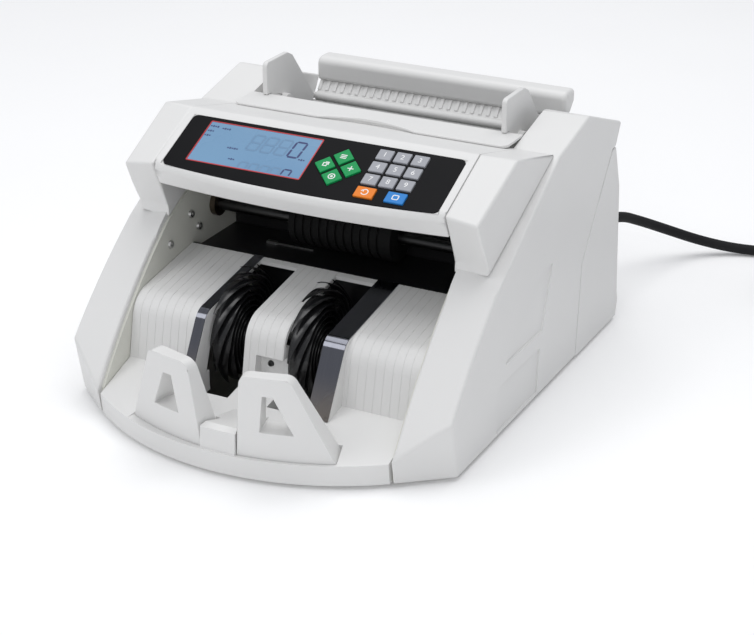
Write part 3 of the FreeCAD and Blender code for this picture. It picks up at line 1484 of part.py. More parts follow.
def make_connector():
    fit = s.seam_gap
    nose_y = s.inlet_face_y - s.socket_deep + s.cut_past
    nose = block("nose", (inlet_x - s.socket_wide / 2 + fit, nose_y, s.inlet_z - s.socket_tall / 2 + fit),
                 (s.socket_wide - fit * 2, s.socket_deep, s.socket_tall - fit * 2))
    grip = block("grip", (inlet_x - s.connector_wide / 2, s.inlet_face_y, s.inlet_z - s.connector_tall / 2),
                 (s.connector_wide, s.connector_long, s.connector_tall))
    tip_radius = s.cord_radius + s.relief_wall
    relief = cone_bar("relief", (inlet_x, relief_y, s.inlet_z), s.relief_radius, tip_radius, s.relief_long)
    keep(fuse("cord_connector", [nose, grip, relief]), "cord_connector")


# Middle line of the free run, from the strain relief down to the table and on to the coil
CORD_ROUTE = [
    (100.0, 208.0, 46.2), (107.0, 232.0, 35.0), (119.0, 254.0, 23.0), (136.0, 273.0, 11.5),
    (157.0, 286.0, 4.6), (180.0, 293.0, 3.5), (203.0, 295.8, 3.5), (224.5, 296.6, 3.5),
    (245.0, 296.0, 3.5),
]


def make_cord():
    points = [FreeCAD.Vector(*[number(part) for part in cord_start])]
    points += [FreeCAD.Vector(*point) for point in CORD_ROUTE]
    edges = []
    last = points[0]
    for before, here, after in zip(points, points[1:], points[2:]):
        to_here = (here - before).normalize()
        onward = (after - here).normalize()
        turn = to_here.getAngle(onward)
        reach = 0.45 * min((here - before).Length, (after - here).Length)
        radius = reach / math.tan(turn / 2)
        first = here - to_here * reach
        second = here + onward * reach
        bisector = (onward - to_here).normalize()
        middle = here + bisector * (radius / math.cos(turn / 2) - radius)
        edges.append(Part.LineSegment(last, first).toShape())
        edges.append(Part.Arc(first, middle, second).toShape())
        last = second
        print("cord radius", round(radius), "turn", round(math.degrees(turn)))
    edges.append(Part.LineSegment(last, points[-1]).toShape())
    wire = Part.Wire(edges)
    ring = Part.Circle(points[0], points[1] - points[0], number(s.cord_radius)).toShape()
    tube = wire.makePipeShell([Part.Wire([ring])], True, True)
    section = math.pi * number(s.cord_radius) ** 2
    print("cord volume", round(tube.Volume), "section times length", round(section * wire.Length))
    cord = keep(doc.addObject("Part::Feature", "mains_cord"), "mains_cord")
    cord.Shape = tube


def make_coil():
    start = (s.coil_x, s.coil_y, 0)
    outer = round_bar("outer", "z", start, s.coil_radius + s.coil_wide / 2, s.coil_tall)
    inner = round_bar("inner", "z", start, s.coil_radius - s.coil_wide / 2, s.coil_tall)
    ring = cut("ring", outer, inner)
    plug_x = s.coil_x + s.tail_reach
    rear_y = s.coil_y - s.tail_long
    tail_start = (plug_x, rear_y, s.plug_tall / 2)
    tail = round_bar("tail", "y", tail_start, s.cord_radius, s.tail_long)
    keep(fuse("cord_coil", [ring, tail]), "cord_coil")
    front_y = rear_y - s.plug_long
    shell = block("shell", (plug_x - s.plug_wide / 2, front_y, 0), (s.plug_wide, s.plug_long, s.plug_tall))
    parts = [shell]
    for side in (-1, 1):
        pin_at = (plug_x + s.pin_spread * side, front_y - s.pin_long, s.plug_tall / 2)
        parts.append(round_bar("pin", "y", pin_at, s.pin_radius, s.pin_long + s.cut_past))
    keep(fuse("mains_plug", parts), "mains_plug")


make_connector()
make_cord()
make_coil()


# Check and write
def check_all():
    doc.recompute()
    for item in doc.Objects:
        if "Invalid" in item.State or "Error" in item.State:
            raise RuntimeError(f"{item.Label} failed: {item.State}")
    for piece in pieces:
        if piece.Shape.isNull() or not piece.Shape.isValid():
            raise RuntimeError(f"{piece.Label} has no valid shape")


check_all()
os.makedirs("parts", exist_ok=True)
for piece in pieces:
    piece.Shape.exportStep(f"parts/{piece.Label}.step")
    print(piece.Label, len(piece.Shape.Solids), round(piece.Shape.Volume))
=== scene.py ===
import json
from math import atan, cos, pi, radians, sin, tan

import bmesh
import bpy
from mathutils import Matrix, Vector
from mathutils.kdtree import KDTree


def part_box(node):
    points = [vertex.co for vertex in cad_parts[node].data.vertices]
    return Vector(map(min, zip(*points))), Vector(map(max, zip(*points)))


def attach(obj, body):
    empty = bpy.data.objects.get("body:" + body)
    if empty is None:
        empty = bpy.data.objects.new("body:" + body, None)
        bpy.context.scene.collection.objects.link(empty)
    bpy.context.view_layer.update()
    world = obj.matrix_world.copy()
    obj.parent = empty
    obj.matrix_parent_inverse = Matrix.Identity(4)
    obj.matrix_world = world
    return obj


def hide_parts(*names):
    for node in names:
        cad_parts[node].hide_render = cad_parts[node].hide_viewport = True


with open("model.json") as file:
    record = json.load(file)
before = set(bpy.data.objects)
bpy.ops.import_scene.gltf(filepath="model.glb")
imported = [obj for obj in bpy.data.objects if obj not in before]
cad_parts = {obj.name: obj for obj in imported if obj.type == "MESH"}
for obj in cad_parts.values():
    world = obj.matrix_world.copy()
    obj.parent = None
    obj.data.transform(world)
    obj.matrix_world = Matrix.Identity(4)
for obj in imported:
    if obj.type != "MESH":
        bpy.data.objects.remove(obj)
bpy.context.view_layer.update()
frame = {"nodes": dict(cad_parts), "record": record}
nodes = frame["nodes"]
bodies = frame["record"]["behaviour"]["bodies"]
bodyOf = {node: body for body, members in bodies.items() for node in members}
mm = 0.001
print("frame loaded with", len(nodes), "nodes")

# Camera at the viewing angle of the picture
cameraSetup = {
    "place": (0.49556, -0.91772, 0.50903),
    "yaw": 27.13,
    "pitch": 24.47,
    "focalPixels": 1898,
    "imageWide": 754,
    "sensor": 36,
}


def linked(name, data):  # a new object, shown in the scene
    holder = bpy.data.objects.new(name, data)
    bpy.context.collection.objects.link(holder)
    return holder


def makeCamera():
    setup = cameraSetup
    camera = bpy.data.cameras.new("camera")
    camera.sensor_width = setup["sensor"]
    camera.lens = setup["focalPixels"] / setup["imageWide"] * setup["sensor"]
    holder = linked("camera", camera)
    holder.location = setup["place"]
    holder.rotation_euler = (radians(90 - setup["pitch"]), 0, radians(setup["yaw"]))
    bpy.context.scene.camera = holder


makeCamera()
print("camera set")


# Shader maths: a wire wraps a socket, and an expression on wires adds its own Math nodes
class Wire:
    def __init__(self, finish, socket):
        self.finish = finish
        self.socket = socket

    def maths(self, operation, first, second):
        return self.finish.node("ShaderNodeMath", {"operation": operation}, {0: first, 1: second})

    def __add__(self, other):
        return self.maths("ADD", self, other)

    def __radd__(self, other):
        return self.maths("ADD", other, self)

    def __sub__(self, other):
        return self.maths("SUBTRACT", self, other)

    def __rsub__(self, other):
        return self.maths("SUBTRACT", other, self)

    def __mul__(self, other):
        return self.maths("MULTIPLY", self, other)

    def __rmul__(self, other):
        return self.maths("MULTIPLY", other, self)

    def between(self, low, high):
        return self.finish.node("ShaderNodeMapRange", {"clamp": True, "interpolation_type": "SMOOTHSTEP"},
                                {0: self, 1: low, 2: high})


class Finish:
    def __init__(self, name, **fixed):
        self.material = bpy.data.materials.new(name)
        self.material.use_nodes = True
        self.tree = self.material.node_tree
        self.shader = self.tree.nodes["Principled BSDF"]
        self.wear(**fixed)

    def put(self, socket, value):
        if isinstance(value, Wire):
            self.tree.links.new(value.socket, socket)
        else:
            socket.default_value = value

    def node(self, kind, settings, sockets, out=0):
        made = self.tree.nodes.new(kind)
        for key, value in settings.items():
            setattr(made, key, value)
        for key, value in sockets.items():
            self.put(made.inputs[key], value)
        return Wire(self, made.outputs[out])

    def place(self, scale=(1, 1, 1)):
        spot = self.node("ShaderNodeTexCoord", {}, {}, "Object")
        return self.node("ShaderNodeMapping", {}, {"Vector": spot, "Scale": scale})

    def noise(self, scale, detail, stretch=(1, 1, 1)):
        spot = self.place(stretch)
        return self.node("ShaderNodeTexNoise", {}, {"Vector": spot, "Scale": scale, "Detail": detail})

    def axis(self, letter):
        return self.node("ShaderNodeSeparateXYZ", {}, {"Vector": self.place()}, "XYZ".index(letter))

    def blend(self, factor, first, second):
        colours = {0: factor, 6: rgba(first), 7: rgba(second)}  # Mix keeps its colours in sockets 6 and 7
        return self.node("ShaderNodeMix", {"data_type": "RGBA"}, colours, 2)

    def mottle(self, factor, colour, shades):
        return self.blend(factor, shade(colour, shades[0]), shade(colour, shades[1]))

    def bump(self, height, depth):  # depth in millimetres
        return self.node("ShaderNodeBump", {}, {"Height": height, "Distance": depth * mm})

    def wear(self, **looks):
        for socket, value in looks.items():
            self.put(self.shader.inputs[socket.replace("_", " ")], value)
        return self.material


def rgba(colour):
    return colour if isinstance(colour, Wire) else (*colour, 1)


def shade(colour, factor):
    return tuple(part * factor for part in colour)


# Moulded plastic: a faint mottle, a fine grain and, where asked, a darker colour near the floor
plasticLook = {
    "cloudScale": 18,
    "grainScale": 2400,
    "roughLess": 0.06,  # taken off before the two noises add to it
    "roughCloud": 0.08,
    "roughGrain": 0.05,
    "darkeningTop": 0.03,
    "darkeningFactor": 0.82,
}


def mouldedPlastic(name, colour, rough=0.45, grain=0.012, mottle=0.03, floorDarkening=0.0, gloss=0.5):
    look = plasticLook
    finish = Finish(name, Specular_IOR_Level=gloss)
    cloud = finish.noise(look["cloudScale"], 3)
    mottled = finish.mottle(cloud, colour, (1 - mottle, 1 + mottle))
    if floorDarkening:
        # darker colour in the lowest few centimetres, blended in by the share asked
        low = 1 - finish.axis("Z").between(0.0, look["darkeningTop"])
        mottled = finish.blend(low * floorDarkening, mottled, shade(colour, look["darkeningFactor"]))
    grains = finish.noise(look["grainScale"], 1)
    uneven = rough - look["roughLess"] + cloud * look["roughCloud"] + grains * look["roughGrain"]
    return finish.wear(Base_Color=mottled, Roughness=uneven, Normal=finish.bump(grains, grain))


# Glossy plastic with scuffs in its clear coat
glossLook = {
    "scuffScale": 160,
    "scuffStretch": (1, 0.15, 1),
    "cloudScale": 40,
    "shades": (0.85, 1.2),
    "rough": 0.16,
    "roughScuff": 0.14,
    "coat": 0.3,
    "coatScuff": 0.2,
    "coatRough": 0.12,
    "depth": 0.006,
}


def glossPlastic(name, colour):
    look = glossLook
    finish = Finish(name, Coat_Roughness=look["coatRough"])
    scuff = finish.noise(look["scuffScale"], 4, look["scuffStretch"])
    cloud = finish.noise(look["cloudScale"], 2)
    return finish.wear(Base_Color=finish.mottle(cloud, colour, look["shades"]),
                       Roughness=look["rough"] + scuff * look["roughScuff"],
                       Coat_Weight=look["coat"] - scuff * look["coatScuff"],
                       Normal=finish.bump(scuff, look["depth"]))


# Turned or brushed steel: fine lines and faint smears
steelLook = {
    "lineScale": 900,
    "smearScale": 30,
    "shades": (0.86, 1.06),
    "roughLines": 0.08,
    "roughSmear": 0.06,
    "depth": 0.002,
}


def brushedSteel(name, colour, stretch, rough):
    look = steelLook
    finish = Finish(name, Metallic=1.0)
    lines = finish.noise(look["lineScale"], 3, stretch)
    smear = finish.noise(look["smearScale"], 3)
    return finish.wear(Base_Color=finish.mottle(lines, colour, look["shades"]),
                       Roughness=rough + lines * look["roughLines"] + smear * look["roughSmear"],
                       Normal=finish.bump(lines, look["depth"]))


# Polished strips, with painted reflections in the base colour: the tray's warm reflection low down and a
# bluish one higher up
stripLook = {
    "lineStretch": (1, 0.02, 0.02),
    "lineColour": (0.32, 0.32, 0.34),
    "lineShare": 0.2,
    "paintedLowReflection": (0.30, 0.27, 0.25),
    "paintedHighReflection": (0.15, 0.155, 0.18),
    "rough": 0.06,
}


def stripSteel(name, box):
    look = stripLook
    finish = Finish(name, Metallic=1.0)
    lines = finish.noise(steelLook["lineScale"], 3, look["lineStretch"])
    # painted reflection: up the lower half of the strip the colour runs from the warm low reflection to the
    # bluish high one
    upward = finish.axis("Z").between(box[0].z, (box[0].z + box[1].z) / 2)
    colour = finish.blend(upward, look["paintedLowReflection"], look["paintedHighReflection"])
    return finish.wear(Base_Color=finish.blend(lines * look["lineShare"], colour, look["lineColour"]),
                       Roughness=look["rough"] + lines * steelLook["roughLines"],
                       Normal=finish.bump(lines, steelLook["depth"]))


# Painted sheet steel and rubber: broad clouds of colour and a fine grain
paintLook = {
    "cloudScale": 25,
    "grainScale": 1200,
    "shades": (0.9, 1.08),
    "gloss": 0.4,
    "rough": 0.38,
    "roughGrain": 0.16,
    "depth": 0.008,
}
rubberLook = {
    "cloudScale": 60,
    "grainScale": 1800,
    "shades": (0.8, 1.5),
    "gloss": 0.2,
    "rough": 0.62,
    "roughGrain": 0.2,
    "depth": 0.02,
}


def grainedCoat(name, colour, look):
    finish = Finish(name, Specular_IOR_Level=look["gloss"])
    cloud = finish.noise(look["cloudScale"], 4)
    grains = finish.noise(look["grainScale"], 2)
    return finish.wear(Base_Color=finish.mottle(cloud, colour, look["shades"]),
                       Roughness=look["rough"] + grains * look["roughGrain"],
                       Normal=finish.bump(grains, look["depth"]))


# Black keypad sheet
membraneLook = {
    "weaveScale": 3000,
    "cloudScale": 22,
    "dark": (0.006, 0.006, 0.007),
    "light": (0.012, 0.012, 0.013),
    "gloss": 0.05,
    "rough": 0.30,
    "roughWeave": 0.12,
    "roughCloud": 0.05,
    "depth": 0.004,
}


def membraneSheet(name):
    look = membraneLook
    finish = Finish(name, Specular_IOR_Level=look["gloss"])
    weave = finish.noise(look["weaveScale"], 1)
    cloud = finish.noise(look["cloudScale"], 3)
    return finish.wear(Base_Color=finish.blend(cloud, look["dark"], look["light"]),
                       Roughness=look["rough"] + weave * look["roughWeave"] + cloud * look["roughCloud"],
                       Normal=finish.bump(weave, look["depth"]))


# Lit display, a little darker to the right and more even at the top
glassLook = {
    "cloudScale": 35,
    "acrossShare": 0.7,
    "cloudShare": 0.3,
    "leftColour": (0.17, 0.31, 0.47),
    "rightColour": (0.12, 0.245, 0.41),
    "topColour": (0.155, 0.285, 0.44),
    "gloss": 0.3,
    "glow": 0.1,
    "rough": 0.22,
    "roughCloud": 0.1,
}


def displayGlass(name, box):
    look = glassLook
    finish = Finish(name, Specular_IOR_Level=look["gloss"], Emission_Strength=look["glow"])
    across = finish.axis("X").between(box[0].x, box[1].x)
    cloud = finish.noise(look["cloudScale"], 2)
    upward = finish.axis("Z").between(box[0].z, box[1].z)
    toRight = across * look["acrossShare"] + cloud * look["cloudShare"]
    glow = finish.blend(toRight, look["leftColour"], look["rightColour"])
    glow = finish.blend(upward, glow, look["topColour"])
    return finish.wear(Base_Color=glow, Emission_Color=glow,
                       Roughness=look["rough"] + cloud * look["roughCloud"])


# Green board with raised tracks
boardLook = {
    "trackOffset": 0.35,
    "trackScale": 220,
    "trackGap": 0.03,
    "dark": (0.012, 0.10, 0.045),
    "light": (0.03, 0.16, 0.07),
    "rough": 0.35,
    "roughTracks": 0.1,
    "depth": 0.03,
}


def circuitBoard(name):
    look = boardLook
    finish = Finish(name)
    bricks = {"Vector": finish.place(), "Scale": look["trackScale"], "Mortar Size": look["trackGap"]}
    tracks = finish.node("ShaderNodeTexBrick", {"offset": look["trackOffset"]}, bricks, "Fac")
    return finish.wear(Base_Color=finish.blend(tracks, look["dark"], look["light"]),
                       Roughness=look["rough"] + tracks * look["roughTracks"],
                       Normal=finish.bump(tracks, look["depth"]))


keyLook = {"rough": 0.38, "grain": 0.006, "gloss": 0.2}
inkLook = {"rough": 0.35, "grain": 0.002}
whiteColour = (0.75, 0.747, 0.737)
finishes = {
    "housing": mouldedPlastic("warmWhiteHousing", whiteColour, floorDarkening=0.25),
    "tray": mouldedPlastic("warmWhiteTray", shade(whiteColour, 0.99), rough=0.4),
    "membrane": membraneSheet("blackMembrane"),
    "lcd": displayGlass("blueDisplay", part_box("display_window")),
    "lcdInk": mouldedPlastic("darkSegments", (0.02, 0.035, 0.14), mottle=0.1, **inkLook),
    "lcdGhost": mouldedPlastic("faintSegments", (0.125, 0.245, 0.40), mottle=0.04, **inkLook),
    "redLine": mouldedPlastic("redFrameLine", (0.48, 0.02, 0.025), rough=0.4, grain=0.002, mottle=0.06),
    "key_grey": mouldedPlastic("greyKey", (0.36, 0.37, 0.40), **keyLook),
    "key_green": mouldedPlastic("greenKey", (0.006, 0.30, 0.085), **keyLook),
    "key_orange": mouldedPlastic("orangeKey", (0.80, 0.22, 0.025), **keyLook),
    "key_blue": mouldedPlastic("blueKey", (0.03, 0.22, 0.60), **keyLook),
    "print": mouldedPlastic("whitePrint", (0.84, 0.84, 0.84), rough=0.5, grain=0.002, mottle=0.02,
                            gloss=0.2),
    "strip": stripSteel("polishedStrip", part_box("strip_right")),
    "steel": brushedSteel("turnedSteel", (0.56, 0.56, 0.55), (1, 0.3, 0.3), 0.25),
    "frame": grainedCoat("oliveFrame", (0.70, 0.70, 0.64), paintLook),
    "shaft": brushedSteel("darkShaft", (0.07, 0.07, 0.07), (1, 0.3, 0.3), 0.3),
    "dark_plastic": mouldedPlastic("blackPlastic", (0.011, 0.011, 0.012), rough=0.42, mottle=0.2),
    "wheel": glossPlastic("blackBlades", (0.010, 0.010, 0.011)),
    # the roller's rubber is black, and is made darker still than the other rubber parts as painted shade for
    # the dim throat
    "roller": grainedCoat("rollerRubberPaintedShade", (0.007, 0.007, 0.007), rubberLook),
    "belt": grainedCoat("beltRubber", (0.014, 0.014, 0.015), rubberLook),
    "bush": brushedSteel("bronzeBush", (0.16, 0.13, 0.10), (1, 1, 1), 0.3),
    "motor": brushedSteel("motorCan", (0.48, 0.48, 0.47), (0.1, 1, 1), 0.3),
    "board": circuitBoard("greenBoard"),
    "foot": grainedCoat("footRubber", (0.018, 0.018, 0.018), rubberLook),
    "cord": grainedCoat("cordSheath", (0.012, 0.012, 0.013), rubberLook),
}
print("finishes made:", len(finishes))


# Common steps
def addPiece(name, mesh, finish, body, slot, *replaced):
    mesh.materials.clear()
    mesh.materials.append(finishes[finish])
    return settle(linked(name, mesh), body, slot, *replaced)


def settle(piece, body, slot, *replaced):
    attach(piece, body)
    if replaced:
        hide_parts(*replaced)
    return piece


def bake(maker):  # a plain mesh from an object with its modifiers or curve settings
    bpy.context.view_layer.update()
    graph = bpy.context.evaluated_depsgraph_get()
    mesh = bpy.data.meshes.new_from_object(maker.evaluated_get(graph))
    bpy.data.objects.remove(maker)
    return mesh


def meshFrom(name, shape):
    mesh = bpy.data.meshes.new(name)
    shape.to_mesh(mesh)
    shape.free()
    return mesh


def smoothFaces(mesh, keen=32):
    mesh.shade_smooth()
    mesh.set_sharp_from_angle(angle=radians(keen))


def prism(shape, outline, low, high):  # an upright slab from a flat outline, in millimetres
    count = len(outline)
    bottom = [shape.verts.new((x * mm, y * mm, low * mm)) for x, y in outline]
    top = [shape.verts.new((x * mm, y * mm, high * mm)) for x, y in outline]
    shape.faces.new(bottom[::-1])
    shape.faces.new(top)
    for here in range(count):
        after = (here + 1) % count
        shape.faces.new((bottom[here], bottom[after], top[after], top[here]))


def ringPrism(shape, outer, inner, low, high):  # the same with a hole of as many corners
    count = len(outer)
    loops = [[shape.verts.new((x * mm, y * mm, z * mm)) for x, y in loop]
             for loop, z in ((outer, low), (outer, high), (inner, high), (inner, low))]
    for here in range(count):
        after = (here + 1) % count
        for first, second in zip(loops, loops[1:] + loops[:1]):
            shape.faces.new((first[here], first[after], second[after], second[here]))


def roundLoop(middle, half, rise, corner, steps=5):  # a rectangle with round corners
    loop = []
    for quarter, (sideX, sideY) in enumerate(((1, 1), (-1, 1), (-1, -1), (1, -1))):
        for step in range(steps + 1):
            angle = pi / 2 * (quarter + step / steps)
            loop.append((middle[0] + sideX * (half - corner) + corner * cos(angle),
                         middle[1] + sideY * (rise - corner) + corner * sin(angle)))
    return loop


mergeSetup = {"gap": 0.002, "flat": 0.4}  # millimetres between corners, degrees between faces


def mergedShape(node):  # a node's loose triangles joined into whole faces
    shape = bmesh.new()
    shape.from_mesh(nodes[node].data)
    bmesh.ops.remove_doubles(shape, verts=shape.verts[:], dist=mergeSetup["gap"] * mm)
    bmesh.ops.dissolve_limit(shape, angle_limit=radians(mergeSetup["flat"]), verts=shape.verts[:],
                             edges=shape.edges[:])
    return shape


# Rounded copies of nodes: each edge gets the radius that its neighbours leave room for
roundLimits = {
    "keen": 28,  # degrees past which an edge is rounded
    "segments": 3,
    "crease": 40,  # degrees past which the shading breaks
    "face": 0.3,  # share of a face that one rounding may take
    "shared": 0.42,  # share of an edge with a rounding at each end
    "free": 0.85,  # share of an edge with a rounding at one end
    "corner": 0.42,  # share of the shorter edge at a corner of two roundings
    "straight": 150,  # degrees past which two edges run on as one
    "slope": 0.2,  # how fast a rounding may grow along its edge
    "passes": 12,
    "least": 0.12,  # edges with less room than this stay sharp
    "plain": 2.5,  # reach of a spot that stays sharp
    "shares": (1, 0.8, 0.65, 0.5, 0.35, 0.2),
    "speck": 1e-10,  # square metres that don't count as a fold
    "turned": 0.3,  # a triangle that agrees less than this with its face is folded
}


def faceDepth(face, edge):  # how far a face reaches from one of its edges
    start = edge.verts[0].co
    along = (edge.verts[1].co - start).normalized()
    steps = [corner.co - start for corner in face.verts]
    return max((step - along * step.dot(along)).length for step in steps)


def edgeRoom(edge, sharp):  # the widest rounding that stays clear of what lies beside an edge
    room = min(faceDepth(face, edge) for face in edge.link_faces) * roundLimits["face"]
    straight = radians(roundLimits["straight"])
    for corner in edge.verts:
        here = edge.other_vert(corner).co - corner.co
        for other in corner.link_edges:
            far = other.other_vert(corner)
            angle = here.angle(far.co - corner.co, pi)
            if other not in sharp:
                ends = "shared" if any(link in sharp for link in far.link_edges) else "free"
                room = min(room, other.calc_length() * roundLimits[ends])
            elif other != edge and angle < straight and set(edge.link_faces) & set(other.link_faces):
                shorter = min(edge.calc_length(), other.calc_length())
                room = min(room, shorter * roundLimits["corner"] * tan(angle / 2))
    return room


def edgeRadii(shape, radius, plain):
    keen = radians(roundLimits["keen"])
    sharp = dict.fromkeys(edge for edge in shape.edges
                          if len(edge.link_faces) == 2 and edge.calc_face_angle() > keen)
    radii = {edge: min(radius * mm, edgeRoom(edge, sharp)) for edge in sharp}
    places = [(0, 0, -1000), *plain]  # the first is far off, so that the tree is never empty
    spots = KDTree(len(places))
    for index, place in enumerate(places):
        spots.insert(place, index)
    spots.balance()
    for edge in sharp:
        ends = [(abs(end.co.x) / mm, end.co.y / mm, end.co.z / mm) for end in edge.verts]
        nearest = min(spots.find(end)[2] for end in ends)
        if nearest < roundLimits["plain"] or radii[edge] < roundLimits["least"] * mm:
            radii[edge] = 0.0
    for _ in range(roundLimits["passes"]):  # neighbours along an edge grow alike
        for edge in sharp:
            for other in [link for corner in edge.verts for link in corner.link_edges if link in radii]:
                reach = (edge.calc_length() + other.calc_length()) / 2
                radii[edge] = min(radii[edge], radii[other] + reach * roundLimits["slope"])
    return radii


def bevelledMesh(node, radius, plain):
    shape = mergedShape(node)
    weight = shape.edges.layers.float.new("bevel_weight_edge")
    for edge, reach in edgeRadii(shape, radius, plain).items():
        edge[weight] = reach / (radius * mm)
    mesh = meshFrom(node, shape)
    maker = linked(node, mesh)
    bevel = maker.modifiers.new("edges", "BEVEL")
    bevel.limit_method = "WEIGHT"
    bevel.width = radius * mm
    bevel.segments = roundLimits["segments"]
    bevel.use_clamp_overlap = False
    smoothFaces(mesh, roundLimits["crease"])
    return bake(maker)


def foldedParts(mesh):  # triangles that a rounding has turned over
    mesh.calc_loop_triangles()
    parts = [part for part in mesh.loop_triangles if part.area > roundLimits["speck"]]
    return [part for part in parts
            if part.normal.dot(mesh.polygons[part.polygon_index].normal) < roundLimits["turned"]]


def unfold(mesh, folded):  # splits folded faces into triangles that all face outwards
    shape = bmesh.new()
    shape.from_mesh(mesh)
    shape.faces.ensure_lookup_table()
    for face in [shape.faces[index] for index in folded]:
        outward = face.normal.copy()
        for part in bmesh.ops.triangulate(shape, faces=[face])["faces"]:
            part.normal_update()
            if part.normal.dot(outward) < 0:
                part.normal_flip()
    shape.to_mesh(mesh)
    shape.free()


def roundedMesh(node, radius, plain=(), tries=1, folds=3):  # folds: square millimetres that may fold over
    plain = list(plain)
    for share in roundLimits["shares"]:  # a smaller rounding where a larger one folds over
        for attempt in range(tries):
            mesh = bevelledMesh(node, radius * share, plain)
            folded = foldedParts(mesh)
            if attempt < tries - 1:  # the next try leaves the folded spots sharp
                corners = [mesh.vertices[corner].co / mm for part in folded for corner in part.vertices]
                plain += [(abs(corner.x), corner.y, corner.z) for corner in corners]
        if sum(part.area for part in folded) < folds * mm * mm:
            break
    unfold(mesh, {part.polygon_index for part in folded})
    maker = linked(node, mesh)
    maker.modifiers.new("flats", "WEIGHTED_NORMAL").keep_sharp = True
    return bake(maker)


def roundedPiece(name, node, finish, slot, radius, **options):
    return addPiece(name, roundedMesh(node, radius, **options), finish, bodyOf[node], slot, node)


# A recipe is a Geometry Nodes tree with named sizes, baked to a plain mesh
class Recipe:
    def __init__(self, name, sizes):
        self.tree = bpy.data.node_groups.new(name, "GeometryNodeTree")
        self.sizes = sizes
        self.marks = {}
        for side in ("INPUT", "OUTPUT"):
            self.tree.interface.new_socket("Geometry", in_out=side, socket_type="NodeSocketGeometry")
        for title, value in sizes.items():
            kind = "NodeSocketInt" if isinstance(value, int) else "NodeSocketFloat"
            socket = self.tree.interface.new_socket(title, in_out="INPUT", socket_type=kind)
            self.marks[title] = socket.identifier
        self.entry = self.tree.nodes.new("NodeGroupInput")

    def size(self, title):
        return self.entry.outputs[title]

    def node(self, kind, settings, sockets, out=0):
        made = self.tree.nodes.new(kind)
        for key, value in settings.items():
            setattr(made, key, value)
        for key, value in sockets.items():
            for item in value if isinstance(value, list) else [value]:
                if isinstance(item, bpy.types.NodeSocket):
                    self.tree.links.new(item, made.inputs[key])
                else:
                    made.inputs[key].default_value = item
        return made.outputs[out] if made.outputs else None

    def maths(self, operation, first, second):
        return self.node("ShaderNodeMath", {"operation": operation}, {0: first, 1: second})

    def vector(self, x=0.0, y=0.0, z=0.0):
        return self.node("ShaderNodeCombineXYZ", {}, {0: x, 1: y, 2: z})

    def bake(self, geometry, finish, seats=()):
        solid = self.node("GeometryNodeRealizeInstances", {}, {"Geometry": geometry})
        dressed = self.node("GeometryNodeSetMaterial", {}, {"Geometry": solid, "Material": finishes[finish]})
        self.node("NodeGroupOutput", {}, {0: dressed})
        mesh = bpy.data.meshes.new(self.tree.name)
        mesh.from_pydata(list(seats), [], [])
        maker = linked(self.tree.name, mesh)
        modifier = maker.modifiers.new("recipe", "NODES")
        modifier.node_group = self.tree
        for title, value in self.sizes.items():
            modifier[self.marks[title]] = value
        return bake(maker)


# Mains lead: down from the strain relief, along the table and into a tied coil
leadSetup = {
    "route": [(96, 189, 48), (100, 208, 46.2), (107, 232, 35), (119, 254, 23), (136, 273, 11.5),
              (157, 286, 4.6), (180, 293, 3.5), (203, 295.8, 3.5), (224.5, 296.6, 3.5)],
    "tail": [(292.8, 240, 10.6), (292.8, 226, 9.3), (292.8, 211, 9)],
    "radius": 3.5,
    "length": 1.5,  # metres
    "coilMiddle": (245, 248.5),
    "coilReach": 47.5,
    "turnPitch": 7.2,
    "turnsIn": 2.6,
    "turnsOut": 2.65,
    "turnPoints": 16,
    "lowLayer": 4.4,
    "highLayer": 11.6,
    "climb": 0.25,  # share of a turn in which it climbs to the upper layer
    "ringSteps": 5,
    "pathSteps": 6,
    "connectorRadius": 2.0,
    "plugRadius": 3.0,
}


def coilPoints():
    setup = leadSetup
    across, deep = setup["coilMiddle"]
    pull = 0.75 + 0.25 * cos(2 * pi / setup["turnPoints"])  # how far inside its points the curve runs
    count = round((setup["turnsIn"] + setup["turnsOut"]) * setup["turnPoints"])
    points = []
    for step in range(count + 1):
        turn = step / setup["turnPoints"]
        inward = min(turn, setup["turnsIn"])
        outward = max(turn - setup["turnsIn"], 0)
        reach = (setup["coilReach"] + setup["turnPitch"] * (outward - inward)) / pull
        angle = pi / 2 - 2 * pi * turn
        rise = min(outward / setup["climb"], 1)
        height = setup["lowLayer"] + (setup["highLayer"] - setup["lowLayer"]) * rise
        points.append((across + reach * cos(angle), deep + reach * sin(angle), height))
    return points


def makeLead():
    curve = bpy.data.curves.new("mainsLead", "CURVE")
    curve.dimensions = "3D"
    curve.bevel_depth = leadSetup["radius"] * mm
    curve.bevel_resolution = leadSetup["ringSteps"]
    curve.resolution_u = leadSetup["pathSteps"]
    curve.use_fill_caps = True
    points = leadSetup["route"] + coilPoints() + leadSetup["tail"]
    spline = curve.splines.new("NURBS")
    spline.points.add(len(points) - 1)
    for control, point in zip(spline.points, points):
        control.co = (*(part * mm for part in point), 1)
    spline.order_u = 3
    spline.use_endpoint_u = True
    spline.use_smooth = True
    curve.materials.append(finishes["cord"])
    return settle(linked("mainsLead", curve), "chassis", "cord", "mains_cord", "cord_coil")


lead = makeLead()
connector = roundedPiece("leadConnector", "cord_connector", "dark_plastic", "dark_plastic",
                         leadSetup["connectorRadius"])
plug = roundedPiece("leadPlug", "mains_plug", "dark_plastic", "dark_plastic", leadSetup["plugRadius"])
print("lead laid with", len(lead.data.splines[0].points), "points")

